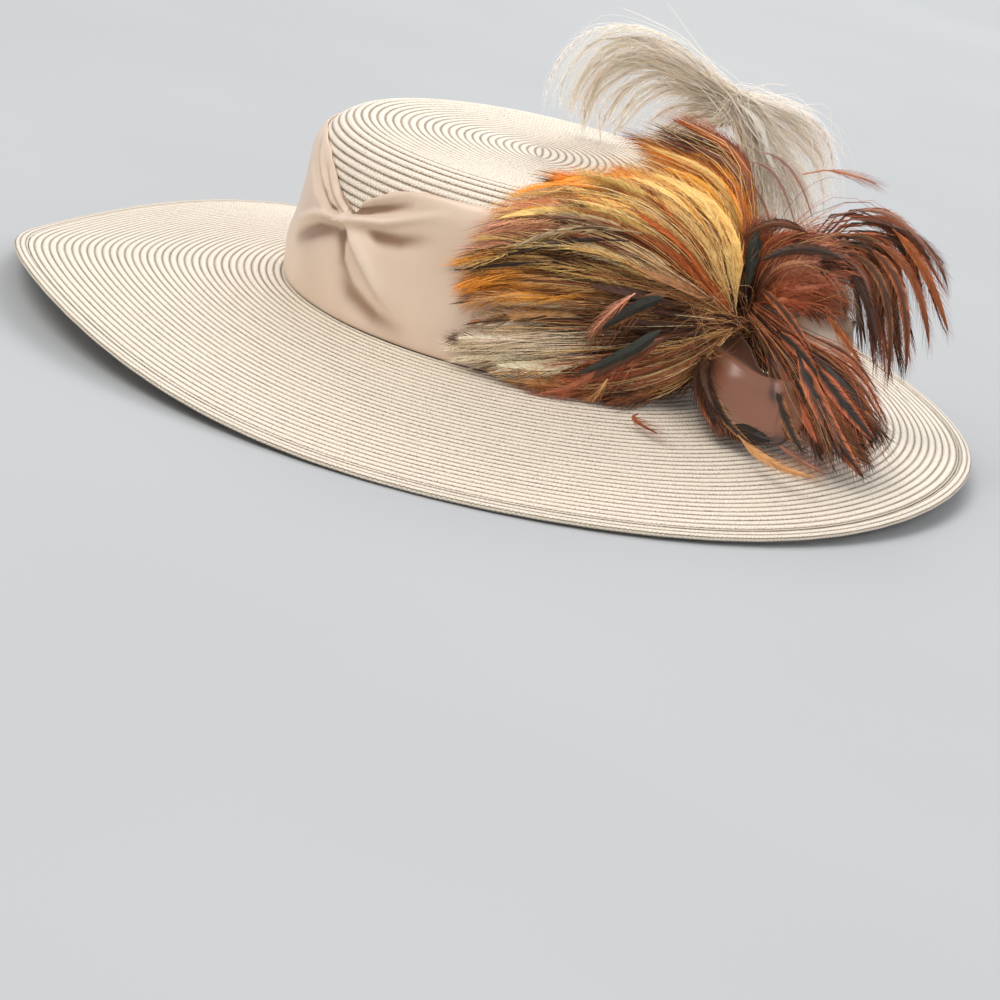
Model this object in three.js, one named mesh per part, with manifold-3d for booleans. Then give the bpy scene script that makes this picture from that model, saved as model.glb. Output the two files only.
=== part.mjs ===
// A wide-brimmed dress hat: sewn straw braid, a low flat crown, a satin band and a feather trim.
// Millimetres, +Z up. X runs to the wearer's left, -Y is the front, and the brim rests on z = 0.
import * as THREE from 'three';
import Module from 'manifold-3d';

const wasm = await Module();
wasm.setup();

// Driving dimensions
const CROWN_HALF_LENGTH = 99.6;
const CROWN_HALF_WIDTH = 90.6;
const CROWN_WALL_HEIGHT = 49.5;
const CROWN_LEAN = 2.0;
const SHOULDER_RADIUS = 18.0;
const STRAW_WALL = 2.0;
const SATIN_WALL = 1.3;
const GAP = 0.3;
const BRIM_WIDTH = 104.7;
const BRIM_DROP = 13.76;
const EDGE_WIDTH = 5.2;
const EDGE_THICKNESS = 3.0;
const EDGE_RISE = 0.5;
const BAND_BOTTOM = 1.2;
const RIBBON_WALL = 1.2;
const KNOT_RADIUS = 10.5;
const KNOT_DEPTH = 8.5;
const KNOT_AROUND = -18;
const KNOT_HEIGHT = 27;
const HEAD_RADIUS = 7;
const SMALL_HEAD_RADIUS = 6;
const STALK_WIDTH = 14;

// How finely the faceted surfaces are cut
const BRIM_STEPS = 66;
const PINCH_STEPS = 26;
const CROWN_STEPS = 38;
const SHOULDER_STEPS = 4;
const LOCK_STEPS = 5;

// What a cutting copy of a piece is grown by, so that neighbours keep a gap, and how deep it reaches
const CLEARANCE = 0.4;
const CUT_DEPTH = 40;

const table = (columns, rows) => rows.map((row) => {
  const names = columns.split(' ');
  return Object.fromEntries(names.map((name, i) => [name, row[i]]));
});

// Up and down waves of the brim, at full size at its edge
const BRIM_WAVES = table('turns cosine sine', [
  [2, 3.37, 2.94],
  [3, 0.13, -1.64],
  [4, -1.50, 1.22],
  [5, 0.56, -1.66],
]);

// Height of the band's upper edge round the crown, with the pinched notch at the front right
const BAND_TOP = table('around height', [
  [-180, 60.0],
  [-168, 60.0],
  [-155, 56.6],
  [-148, 51.7],
  [-143, 45.9],
  [-135, 40.8],
  [-132, 47.0],
  [-123, 55.0],
  [-115, 58.0],
  [-101, 59.4],
  [180, 60.0],
]);

// Folds of the band, as rays from the pinch: bearing 0 runs along the band, 90 straight up
const PINCH = { around: -134.5, height: 40.5, rise: 2.6, radius: 4.5 };
const BAND_FOLDS = table('bearing reach rise halfWidth', [
  [24, 46, 2.6, 3.4],
  [-6, 40, 1.6, 3.6],
  [-48, 52, 2.4, 4.6],
  [-82, 34, 1.4, 4.0],
  [-122, 36, 1.8, 4.4],
  [162, 34, 2.0, 4.0],
]);

// Feather locks that lie round the crown: places as angle around, climb up the crown and lift off it
const GOLDEN_LOCKS = table('midAround midClimb midLift tipAround tipClimb tipLift width', [
  [-40, 80, 9, -64, 84, 7, 13],
  [-61, 73, 8, -91, 70, 6, 13],
  [-62, 64, 9, -96, 60, 5.5, 13],
  [-70, 57, 9, -102, 47, 5.5, 13],
  [-72, 49, 10, -103, 36, 5.5, 14],
  [-73, 41, 10, -100, 28, 5.5, 14],
  [-72, 33, 10, -98, 20, 5.5, 14],
  [-70, 25, 10, -98, 12, 5.5, 13],
  [-69, 18, 9, -97, 6, 6, 12],
  [-64, 9, 10, -88, 3, 7, 12],
  [-57, 6, 13, -76, 4, 9, 12],
  [-48, 6, 14, -62, 4, 13, 12],
  [-47, 33, 16, -69, 22, 13, 12],
]);

// Free feather locks, in millimetres from the crown's base centre
const UPPER_LOCKS = table('midX midY midZ tipX tipY tipZ width', [
  [76, -22, 84, 47, -18, 90, 13],
  [70, -30, 80, 31, -20, 82, 14],
  [68, -40, 75, 38, -36, 79, 14],
  [62, -49, 71, 29, -46, 75, 14],
]);
const PLUME_STEM = table('x y z', [
  [88, -14, 52],
  [83, -2, 78],
  [64, 10, 106],
]);
const PLUME_LOCKS = table('midX midY midZ tipX tipY tipZ width', [
  [30, 18, 124, -1, 34, 84, 17],
  [29, 27, 114, 4, 43, 78, 18],
  [36, 32, 105, 16, 50, 77, 17],
  [48, 34, 96, 32, 50, 76, 16],
  [92, 14, 101, 116, 8, 72, 18],
  [86, 20, 90, 104, 12, 56, 18],
]);
const FAN_LOCKS = table('midX midY midZ tipX tipY tipZ width', [
  [116, -27, 78, 151, -26, 68, 12],
  [128, -31, 74, 168, -33, 47, 14],
  [126, -36, 66, 163, -39, 32, 16],
  [121, -28, 60, 157, -29, 18, 17],
  [114, -18, 54, 147, -12, 14, 17],
  [107, -34, 52, 134, -34, 36, 17],
  [101, -44, 62, 126, -46, 60, 16],
]);
const HACKLE_LOCKS = table('midX midY midZ tipX tipY tipZ width', [
  [130, -44, 32, 162, -20, 2, 14],
  [127, -55, 34, 157, -56, 1, 16],
  [122, -66, 34, 151, -92, 1, 17],
  [117, -75, 32, 141, -107, 1, 17],
  [112, -84, 30, 127, -119, 1, 15],
  [88, -77, 24, 104, -106, 0, 12],
]);

// Bow loops: each is a ribbon stood on edge and bent into a drop
const BOW_LOOPS = table('node length breadth ribbon bearing lean base', [
  ['bow_loop_front', 66, 36, 25, -87, 6, -2.5],
  ['bow_loop_side', 42, 26, 23, -8, -8, 12],
]);
const LOOP_POINTS = 22;

const radians = THREE.MathUtils.degToRad;

// The crown's base oval, moved outwards along its own normal
function ovalPoint(around, out, height) {
  const angle = radians(around);
  const normal = new THREE.Vector2(Math.cos(angle) / CROWN_HALF_WIDTH, Math.sin(angle) / CROWN_HALF_LENGTH);
  normal.normalize();
  return new THREE.Vector3(
    CROWN_HALF_WIDTH * Math.cos(angle) + out * normal.x,
    CROWN_HALF_LENGTH * Math.sin(angle) + out * normal.y,
    height,
  );
}

function ovalNormal(around) {
  return ovalPoint(around, 1, 0).sub(ovalPoint(around, 0, 0));
}

// A place on the crown: climb is the distance up its outside, lift the distance off the straw
const STRAW_INSET = SATIN_WALL + GAP;
const SHOULDER_TOP = CROWN_WALL_HEIGHT + SHOULDER_RADIUS * Math.PI / 2;
function crownPoint(around, climb, lift) {
  if (climb <= CROWN_WALL_HEIGHT) {
    const lean = CROWN_LEAN * Math.max(climb, 0) / CROWN_WALL_HEIGHT;
    return ovalPoint(around, lift - STRAW_INSET - lean, climb);
  }
  const turn = Math.min((climb - CROWN_WALL_HEIGHT) / SHOULDER_RADIUS, Math.PI / 2);
  const flat = climb - CROWN_WALL_HEIGHT - turn * SHOULDER_RADIUS;
  const reach = (SHOULDER_RADIUS + lift) * Math.cos(turn) - SHOULDER_RADIUS - flat;
  const rise = (SHOULDER_RADIUS + lift) * Math.sin(turn);
  return ovalPoint(around, reach - STRAW_INSET - CROWN_LEAN, CROWN_WALL_HEIGHT + rise);
}

// The top of the brim at a distance out from the crown's base
function brimPoint(around, out, lift) {
  const point = ovalPoint(around, out, 0);
  const share = Math.max(out, 0) / BRIM_WIDTH;
  const angle = Math.atan2(point.y, point.x);
  let wave = 0;
  for (const { turns, cosine, sine } of BRIM_WAVES) {
    wave += cosine * Math.cos(turns * angle) + sine * Math.sin(turns * angle);
  }
  point.z = wave * share ** 1.1 - BRIM_DROP * share ** 1.02 + lift;
  return point;
}

// A closed mesh from loose triangles: near points are welded and the faces are turned outwards
function closedMesh(triangles) {
  const places = new Map();
  const positions = [];
  const index = [];
  let volume = 0;
  const weld = (point) => {
    const key = point.toArray().map((value) => Math.round(value * 1e4)).join();
    if (!places.has(key)) {
      places.set(key, places.size);
      positions.push(point.x, point.y, point.z);
    }
    return places.get(key);
  };
  for (const [a, b, c] of triangles) {
    const corners = [weld(a), weld(b), weld(c)];
    if (new Set(corners).size === 3) {
      index.push(...corners);
      volume += a.dot(new THREE.Vector3().crossVectors(b, c));
    }
  }
  if (volume < 0) index.reverse();
  const geometry = new THREE.BufferGeometry();
  geometry.setAttribute('position', new THREE.Float32BufferAttribute(positions, 3));
  geometry.setIndex(index);
  return geometry;
}

function quads(near, far) {
  const triangles = [];
  near.forEach((point, i) => {
    const next = (i + 1) % near.length;
    triangles.push([point, near[next], far[next]], [point, far[next], far[i]]);
  });
  return triangles;
}

// Closed sections joined in a ring
function ringLoft(sections) {
  return closedMesh(sections.flatMap((section, i) => quads(section, sections[(i + 1) % sections.length])));
}

// Closed sections joined end to end, each end closed by a fan
function endLoft(sections) {
  const triangles = [];
  for (let i = 1; i < sections.length; i += 1) triangles.push(...quads(sections[i - 1], sections[i]));
  const fan = (section, turned) => {
    const middle = section.reduce((sum, point) => sum.add(point), new THREE.Vector3());
    middle.divideScalar(section.length);
    section.forEach((point, i) => {
      const next = section[(i + 1) % section.length];
      triangles.push(turned ? [middle, next, point] : [middle, point, next]);
    });
  };
  fan(sections[0], true);
  fan(sections[sections.length - 1], false);
  return closedMesh(triangles);
}

const span = (low, high, steps) => Array.from({ length: steps + 1 }, (_, i) => low + (high - low) * i / steps);
const BRIM_ANGLES = span(-180, 180, BRIM_STEPS).slice(1);

// The crown and band share their angles, which are closer round the pinch
const PINCH_FROM = -168;
const PINCH_TO = -98;
const CROWN_ANGLES = [
  ...span(PINCH_FROM, PINCH_TO, PINCH_STEPS),
  ...span(PINCH_TO, PINCH_FROM + 360, CROWN_STEPS).slice(1, -1),
];

// Solids for joining and cutting
function toSolid(geometry) {
  const source = geometry.index ? geometry.toNonIndexed() : geometry;
  const position = source.getAttribute('position');
  const corners = [];
  for (let i = 0; i < position.count; i += 1) corners.push(new THREE.Vector3().fromBufferAttribute(position, i));
  const triangles = [];
  for (let i = 0; i < corners.length; i += 3) triangles.push(corners.slice(i, i + 3));
  const closed = closedMesh(triangles);
  const vertProperties = new Float32Array(closed.getAttribute('position').array);
  const triVerts = new Uint32Array(closed.index.array);
  return new wasm.Manifold(new wasm.Mesh({ numProp: 3, vertProperties, triVerts }));
}

// The largest single body of a solid, without faces finer than SMALLEST_FEATURE
const SMALLEST_FEATURE = 0.02;
function toGeometry(solid) {
  const bodies = solid.decompose();
  bodies.sort((a, b) => b.volume() - a.volume());
  const mesh = bodies[0].simplify(SMALLEST_FEATURE).getMesh();
  const geometry = new THREE.BufferGeometry();
  geometry.setAttribute('position', new THREE.BufferAttribute(new Float32Array(mesh.vertProperties), 3));
  geometry.setIndex(Array.from(mesh.triVerts));
  return geometry;
}

const unite = (solids) => solids.reduce((sum, solid) => sum.add(solid));

// Straw

function crownGeometry() {
  const shoulder = span(CROWN_WALL_HEIGHT, SHOULDER_TOP, SHOULDER_STEPS);
  const climbs = [GAP, CROWN_WALL_HEIGHT / 2, ...shoulder];
  const sections = CROWN_ANGLES.map((angle) => {
    const outer = climbs.map((climb) => crownPoint(angle, climb, 0));
    const inner = climbs.map((climb) => crownPoint(angle, climb, -STRAW_WALL));
    const top = new THREE.Vector3(0, 0, outer[outer.length - 1].z);
    const ceiling = new THREE.Vector3(0, 0, inner[inner.length - 1].z);
    return [...outer, top, ceiling, ...inner.reverse()];
  });
  return ringLoft(sections);
}

const BRIM_INNER = -(STRAW_INSET + STRAW_WALL);
const BRIM_OUTER = BRIM_WIDTH - EDGE_WIDTH - GAP;

function brimGeometry() {
  const outs = [BRIM_INNER, 0, ...span(8, BRIM_OUTER, 4)];
  return ringLoft(BRIM_ANGLES.map((angle) => {
    const top = outs.map((out) => brimPoint(angle, out, 0));
    const under = outs.map((out) => brimPoint(angle, out, -STRAW_WALL));
    return [...top, ...under.reverse()];
  }));
}

function edgeGeometry() {
  const inner = BRIM_WIDTH - EDGE_WIDTH;
  const middle = BRIM_WIDTH - EDGE_WIDTH / 2;
  const low = EDGE_RISE - EDGE_THICKNESS;
  const rounding = 0.9;
  return ringLoft(BRIM_ANGLES.map((angle) => [
    brimPoint(angle, inner, 0),
    brimPoint(angle, middle, EDGE_RISE),
    brimPoint(angle, BRIM_WIDTH, EDGE_RISE - rounding),
    brimPoint(angle, BRIM_WIDTH, low + rounding),
    brimPoint(angle, middle, low),
    brimPoint(angle, inner, -STRAW_WALL),
  ]));
}

// Satin band

function bandTop(angle) {
  const turned = ((angle + 180) % 360 + 360) % 360 - 180;
  const next = BAND_TOP.findIndex((row) => row.around > turned);
  const [low, high] = [BAND_TOP[next - 1], BAND_TOP[next]];
  return THREE.MathUtils.mapLinear(turned, low.around, high.around, low.height, high.height);
}

function bandRelief(angle, height) {
  const along = radians(angle - PINCH.around) * (CROWN_HALF_LENGTH + CROWN_HALF_WIDTH) / 2;
  const up = height - PINCH.height;
  let rise = PINCH.rise * Math.exp(-((along ** 2 + up ** 2) / PINCH.radius ** 2));
  for (const fold of BAND_FOLDS) {
    const bearing = radians(fold.bearing);
    const forward = (along * Math.cos(bearing) + up * Math.sin(bearing)) / fold.reach;
    const aside = up * Math.cos(bearing) - along * Math.sin(bearing);
    if (forward > 0 && forward < 1) {
      const spread = fold.halfWidth * (0.5 + forward);
      const swell = Math.min(forward / 0.1, 1) * (1 - forward);
      rise += fold.rise * swell * Math.exp(-((aside / spread) ** 2));
    }
  }
  return rise;
}

const BAND_ROWS = 8;
const LINING_SHARES = [1, 0.94, 0.88, 0.82, 0];

function bandGeometry() {
  return ringLoft(CROWN_ANGLES.map((angle) => {
    const top = bandTop(angle);
    const outer = span(BAND_BOTTOM, top, BAND_ROWS).map((height) => {
      const lift = GAP + SATIN_WALL + bandRelief(angle, height);
      return crownPoint(angle, height, lift);
    });
    const inner = LINING_SHARES.map((share) => {
      const height = BAND_BOTTOM + (top - BAND_BOTTOM) * share;
      return crownPoint(angle, height, GAP);
    });
    return [...outer, ...inner];
  }));
}

// Feather locks: tapered blades of four-sided section along a smooth path

const LOCK_TAPER = [0.55, 0.9, 1, 0.95, 0.7, 0.12];
const LOCK_THICKNESS = 0.34;

function lockSolid(points, width, faceAt, grow) {
  const path = new THREE.CatmullRomCurve3(points, false, 'centripetal');
  const sections = span(0, 1, LOCK_STEPS).map((share, i) => {
    const middle = path.getPointAt(share);
    const ahead = path.getTangentAt(share);
    const side = new THREE.Vector3().crossVectors(ahead, faceAt(middle)).normalize();
    const face = new THREE.Vector3().crossVectors(side, ahead).normalize();
    const half = width / 2 * LOCK_TAPER[i];
    if (i === LOCK_STEPS) middle.addScaledVector(ahead, grow);
    side.multiplyScalar(half + grow);
    face.multiplyScalar(half * LOCK_THICKNESS + grow);
    return [
      middle.clone().add(side),
      middle.clone().add(face),
      middle.clone().sub(side),
      middle.clone().sub(face),
    ];
  });
  return toSolid(endLoft(sections));
}

function headSolid(middle, radius, grow) {
  const ball = new THREE.SphereGeometry(radius + grow, 10, 6);
  ball.translate(middle.x, middle.y, middle.z);
  return toSolid(ball);
}

// Which way a blade's flat side faces: off the crown, or to the front and a little up
const outwards = (point) => {
  const angle = Math.atan2(point.y / CROWN_HALF_LENGTH, point.x / CROWN_HALF_WIDTH);
  return ovalNormal(THREE.MathUtils.radToDeg(angle)).setZ(0.35).normalize();
};
const forwards = () => new THREE.Vector3(0, -1, 0.3).normalize();

// Each spray is a head beside the knot with its locks fused on
const GOLDEN_ROOT = { around: -27, climb: 29, lift: 10 };
const HEADS = {
  golden: crownPoint(GOLDEN_ROOT.around, GOLDEN_ROOT.climb, GOLDEN_ROOT.lift),
  upper: crownPoint(-19, 42, 10),
  plume: crownPoint(-9, 38, 8),
  fan: crownPoint(-11, 29, 19),
  hackle: crownPoint(-22, 20, 22),
};

function goldenSpray(grow) {
  const root = GOLDEN_ROOT;
  const locks = GOLDEN_LOCKS.map((row) => {
    const mid = { around: row.midAround, climb: row.midClimb, lift: row.midLift };
    const tip = { around: row.tipAround, climb: row.tipClimb, lift: row.tipLift };
    const points = span(0, 1, 6).map((t) => {
      const blend = (key) => {
        const control = 2 * mid[key] - (root[key] + tip[key]) / 2;
        return root[key] * (1 - t) ** 2 + 2 * control * t * (1 - t) + tip[key] * t ** 2;
      };
      return crownPoint(blend('around'), blend('climb'), blend('lift'));
    });
    return lockSolid(points, row.width, outwards, grow);
  });
  return unite([headSolid(HEADS.golden, HEAD_RADIUS, grow), ...locks]);
}

function freeSpray(head, rows, radius, grow) {
  const locks = rows.map((row) => {
    const mid = new THREE.Vector3(row.midX, row.midY, row.midZ);
    const tip = new THREE.Vector3(row.tipX, row.tipY, row.tipZ);
    return lockSolid([head, mid, tip], row.width, forwards, grow);
  });
  return unite([headSolid(head, radius, grow), ...locks]);
}

function plumeSpray(grow) {
  const stem = PLUME_STEM.map(({ x, y, z }) => new THREE.Vector3(x, y, z));
  const stalk = lockSolid([HEADS.plume, ...stem], STALK_WIDTH, forwards, grow);
  const foot = headSolid(HEADS.plume, SMALL_HEAD_RADIUS, grow);
  return unite([foot, stalk, freeSpray(stem[stem.length - 1], PLUME_LOCKS, SMALL_HEAD_RADIUS, grow)]);
}

// Knot and bow

function knotGeometry(grow) {
  const knot = new THREE.SphereGeometry(1, 14, 8);
  knot.scale(KNOT_DEPTH + grow, KNOT_RADIUS + grow, KNOT_RADIUS + grow);
  return knot;
}

function dropOutline(length, breadth, inset) {
  return span(0, 2 * Math.PI, LOOP_POINTS).slice(0, -1).map((turn) => {
    const reach = length - 2 * inset;
    const swell = (breadth / 2 - inset) * Math.sin(turn) * Math.sin(turn / 2) ** 0.6;
    return new THREE.Vector2(inset + reach * (1 - Math.cos(turn)) / 2, swell);
  });
}

function loopGeometry({ length, breadth, ribbon }, grow) {
  const shape = new THREE.Shape(dropOutline(length, breadth, -grow));
  shape.holes.push(new THREE.Path(dropOutline(length, breadth, RIBBON_WALL + grow).reverse()));
  const loop = new THREE.ExtrudeGeometry(shape, { depth: ribbon + 2 * grow, bevelEnabled: false, steps: 1 });
  loop.translate(0, 0, -grow);
  return loop;
}

// Materials
const material = (color, roughness) => new THREE.MeshStandardMaterial({ color, roughness, metalness: 0 });
const straw = material(0xeadfc9, 0.6);
const champagneSatin = material(0xcbb096, 0.4);
const copperSatin = material(0x96694f, 0.35);
const boundQuills = material(0x4a3024, 0.8);
const goldenFeather = material(0xc58a3c, 0.7);
const orangeFeather = material(0xd98f35, 0.7);
const creamFeather = material(0xe3d6bf, 0.8);
const rustFeather = material(0x8c3f24, 0.7);
const darkFeather = material(0x5a2a1c, 0.7);

// Assembly: everything is placed from the crown's base, and the whole stands on the brim's lowest edge
const hat = new THREE.Group();
const shaped = new THREE.Group();
hat.add(shaped);

function addPiece(name, geometry, finish) {
  const mesh = new THREE.Mesh(geometry, finish);
  mesh.name = name;
  shaped.add(mesh);
  return mesh;
}

addPiece('crown', crownGeometry(), straw);
addPiece('brim', brimGeometry(), straw);
const edge = addPiece('brim_edge', edgeGeometry(), straw);
addPiece('hatband', bandGeometry(), champagneSatin);

const knotMiddle = crownPoint(KNOT_AROUND, KNOT_HEIGHT, STRAW_INSET + GAP + KNOT_DEPTH);
const knotTurn = Math.atan2(ovalNormal(KNOT_AROUND).y, ovalNormal(KNOT_AROUND).x);
const knot = addPiece('trim_knot', knotGeometry(0), boundQuills);
knot.position.copy(knotMiddle);
knot.rotation.z = knotTurn;
knot.updateMatrix();

// Space that the trim keeps out of: the crown with its band, the brim, and what is already placed
function crownSpace() {
  const climbs = [0, ...span(CROWN_WALL_HEIGHT, SHOULDER_TOP, SHOULDER_STEPS)];
  const lift = STRAW_INSET + CLEARANCE;
  const rings = climbs.map((climb) => CROWN_ANGLES.map((angle) => crownPoint(angle, climb, lift)));
  rings.unshift(CROWN_ANGLES.map((angle) => crownPoint(angle, 0, lift).setZ(-CUT_DEPTH)));
  return toSolid(endLoft(rings));
}

function brimSpace() {
  const outs = span(BRIM_INNER, BRIM_WIDTH, 8);
  return toSolid(ringLoft(BRIM_ANGLES.map((angle) => {
    const top = outs.map((out) => brimPoint(angle, out, EDGE_RISE + CLEARANCE));
    const under = [BRIM_WIDTH, BRIM_INNER].map((out) => brimPoint(angle, out, -CUT_DEPTH));
    return [...top, ...under];
  })));
}

let taken = unite([crownSpace(), brimSpace(), toSolid(knotGeometry(CLEARANCE).applyMatrix4(knot.matrix))]);

for (const row of BOW_LOOPS) {
  const loop = new THREE.Object3D();
  loop.position.set(knotMiddle.x, knotMiddle.y, row.base);
  loop.rotation.set(0, radians(row.lean), radians(row.bearing), 'ZYX');
  loop.updateMatrix();
  const body = toSolid(loopGeometry(row, 0).applyMatrix4(loop.matrix)).subtract(taken);
  addPiece(row.node, toGeometry(body), row.node === 'bow_loop_front' ? copperSatin : champagneSatin);
  taken = taken.add(toSolid(loopGeometry(row, CLEARANCE).applyMatrix4(loop.matrix)));
}

const SPRAYS = [
  ['golden_spray', goldenSpray, goldenFeather],
  ['upper_spray', (grow) => freeSpray(HEADS.upper, UPPER_LOCKS, SMALL_HEAD_RADIUS, grow), orangeFeather],
  ['plume', plumeSpray, creamFeather],
  ['rust_fan', (grow) => freeSpray(HEADS.fan, FAN_LOCKS, HEAD_RADIUS, grow), rustFeather],
  ['hackle_spray', (grow) => freeSpray(HEADS.hackle, HACKLE_LOCKS, HEAD_RADIUS, grow), darkFeather],
];
for (const [name, spray, finish] of SPRAYS) {
  addPiece(name, toGeometry(spray(0).subtract(taken)), finish);
  taken = taken.add(spray(CLEARANCE));
}

edge.geometry.computeBoundingBox();
shaped.position.z = -edge.geometry.boundingBox.min.z;

export default hat;
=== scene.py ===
import math

import bpy
import numpy as np
from mathutils import Matrix, Vector


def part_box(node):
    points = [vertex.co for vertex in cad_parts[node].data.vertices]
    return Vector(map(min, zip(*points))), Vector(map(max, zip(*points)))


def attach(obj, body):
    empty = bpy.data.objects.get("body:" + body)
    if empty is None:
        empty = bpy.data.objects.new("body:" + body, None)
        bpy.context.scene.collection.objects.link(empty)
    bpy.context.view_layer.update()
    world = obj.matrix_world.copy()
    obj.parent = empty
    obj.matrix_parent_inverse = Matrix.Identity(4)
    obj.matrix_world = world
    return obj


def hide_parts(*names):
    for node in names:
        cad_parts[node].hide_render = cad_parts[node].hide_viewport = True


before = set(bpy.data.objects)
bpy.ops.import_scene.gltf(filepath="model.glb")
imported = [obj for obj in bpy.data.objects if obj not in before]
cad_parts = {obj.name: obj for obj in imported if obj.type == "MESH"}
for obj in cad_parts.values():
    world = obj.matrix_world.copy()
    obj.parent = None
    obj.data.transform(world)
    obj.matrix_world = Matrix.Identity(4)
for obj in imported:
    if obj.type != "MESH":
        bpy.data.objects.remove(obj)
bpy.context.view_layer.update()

MM = 0.001

# Driving sizes, in millimetres, as the part's source has them
CROWN_HALF_LENGTH = 99.6
CROWN_HALF_WIDTH = 90.6
CROWN_WALL_HEIGHT = 49.5
CROWN_LEAN = 2.0
SHOULDER_RADIUS = 18.0
STRAW_WALL = 2.0
SATIN_WALL = 1.3
GAP = 0.3
BRIM_WIDTH = 104.7
BRIM_DROP = 13.76
EDGE_WIDTH = 5.2
STRAW_INSET = SATIN_WALL + GAP
SHOULDER_TOP = CROWN_WALL_HEIGHT + SHOULDER_RADIUS * math.pi / 2
TIP_REACH = CROWN_HALF_WIDTH - STRAW_INSET - CROWN_LEAN - SHOULDER_RADIUS
CROWN_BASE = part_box("crown")[0].z / MM - GAP

# The braid: one plait along a row, and how far apart the rows are on the brim and on the crown
PLAIT = 1.7
BRIM_PITCH = 2.9
CROWN_PITCH = 3.15


def table(columns, rows):
    """Rows of values as dicts with named columns."""
    names = columns.split()
    return [dict(zip(names, row)) for row in rows]


# Up and down waves of the brim, in millimetres at its edge
BRIM_WAVES = table("turns cosine sine", [
    (2, 3.37, 2.94),
    (3, 0.13, -1.64),
    (4, -1.50, 1.22),
    (5, 0.56, -1.66),
])

# Height of the band's upper edge round the crown, with the pinched notch at the front right
BAND_TOP = table("around height", [
    (-180, 60.0),
    (-168, 60.0),
    (-155, 56.6),
    (-148, 51.7),
    (-143, 45.9),
    (-135, 40.8),
    (-132, 47.0),
    (-123, 55.0),
    (-115, 58.0),
    (-101, 59.4),
    (180, 60.0),
])


# Places on the hat, worked out for whole arrays of points at once

def oval(around, out):
    """The crown's base oval at an angle in degrees, moved outwards along its normal."""
    angle = np.radians(around)
    nx, ny = np.cos(angle) / CROWN_HALF_WIDTH, np.sin(angle) / CROWN_HALF_LENGTH
    size = np.hypot(nx, ny)
    return (CROWN_HALF_WIDTH * np.cos(angle) + out * nx / size,
            CROWN_HALF_LENGTH * np.sin(angle) + out * ny / size)


def from_base(places):
    """Places given in millimetres from the crown's base, as scene coordinates."""
    return (np.asarray(places, float) + (0, 0, CROWN_BASE)) * MM


def stack(x, y, z):
    """The same for separate arrays of x, y and z, or for one number among them."""
    return from_base(np.stack(np.broadcast_arrays(x, y, z), axis=-1))


def crown_point(around, climb, lift):
    """A place at a climb up the crown's outside and a lift off its straw, on the tip too."""
    around, climb, lift = np.broadcast_arrays(*(np.asarray(v, float) for v in (around, climb, lift)))
    turn = np.clip((climb - CROWN_WALL_HEIGHT) / SHOULDER_RADIUS, 0, math.pi / 2)
    lean = CROWN_LEAN * np.clip(climb, 0, CROWN_WALL_HEIGHT) / CROWN_WALL_HEIGHT
    out = (SHOULDER_RADIUS + lift) * np.cos(turn) - SHOULDER_RADIUS - STRAW_INSET - lean
    up = np.minimum(climb, CROWN_WALL_HEIGHT) + (SHOULDER_RADIUS + lift) * np.sin(turn)
    x, y = oval(around, out)
    # On the flat tip the rows close in on a short line along the long axis
    inwards = np.clip((climb - SHOULDER_TOP) / TIP_REACH, 0, 1)
    line = (CROWN_HALF_LENGTH - CROWN_HALF_WIDTH) * np.sin(np.radians(around))
    return stack(x * (1 - inwards), y * (1 - inwards) + line * inwards, up)


def brim_height(angle, out):
    """How high the brim's top is above the crown's base, at a direction and a distance out."""
    share = np.clip(out, 0, None) / BRIM_WIDTH
    wave_growth, drop_growth = 1.1, 1.02
    wave = sum(w["cosine"] * np.cos(w["turns"] * angle) + w["sine"] * np.sin(w["turns"] * angle)
               for w in BRIM_WAVES)
    return wave * share ** wave_growth - BRIM_DROP * share ** drop_growth


def brim_point(around, out, lift):
    """A place on the brim, measured out from the crown's base and up from the brim's top."""
    x, y = oval(around, out)
    return stack(x, y, brim_height(np.arctan2(y, x), out) + lift)


def on_brim(points):
    """The same points, with those that would go through the brim laid flat on top of it."""
    clear, squash, softness = 0.9, 0.5, 4
    x, y, z = (points / MM).T
    angle = np.arctan2(y, x)
    base = 1 / np.hypot(np.cos(angle) / CROWN_HALF_WIDTH, np.sin(angle) / CROWN_HALF_LENGTH)
    floor = CROWN_BASE + brim_height(angle, np.hypot(x, y) - base) + clear
    depth = np.clip(floor - z, 0, None)
    laid = np.where(depth > 0, floor - squash * (1 - np.exp(-depth / squash / softness)), z)
    return np.stack([x, y, laid], axis=-1) * MM


# Finishes

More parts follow.
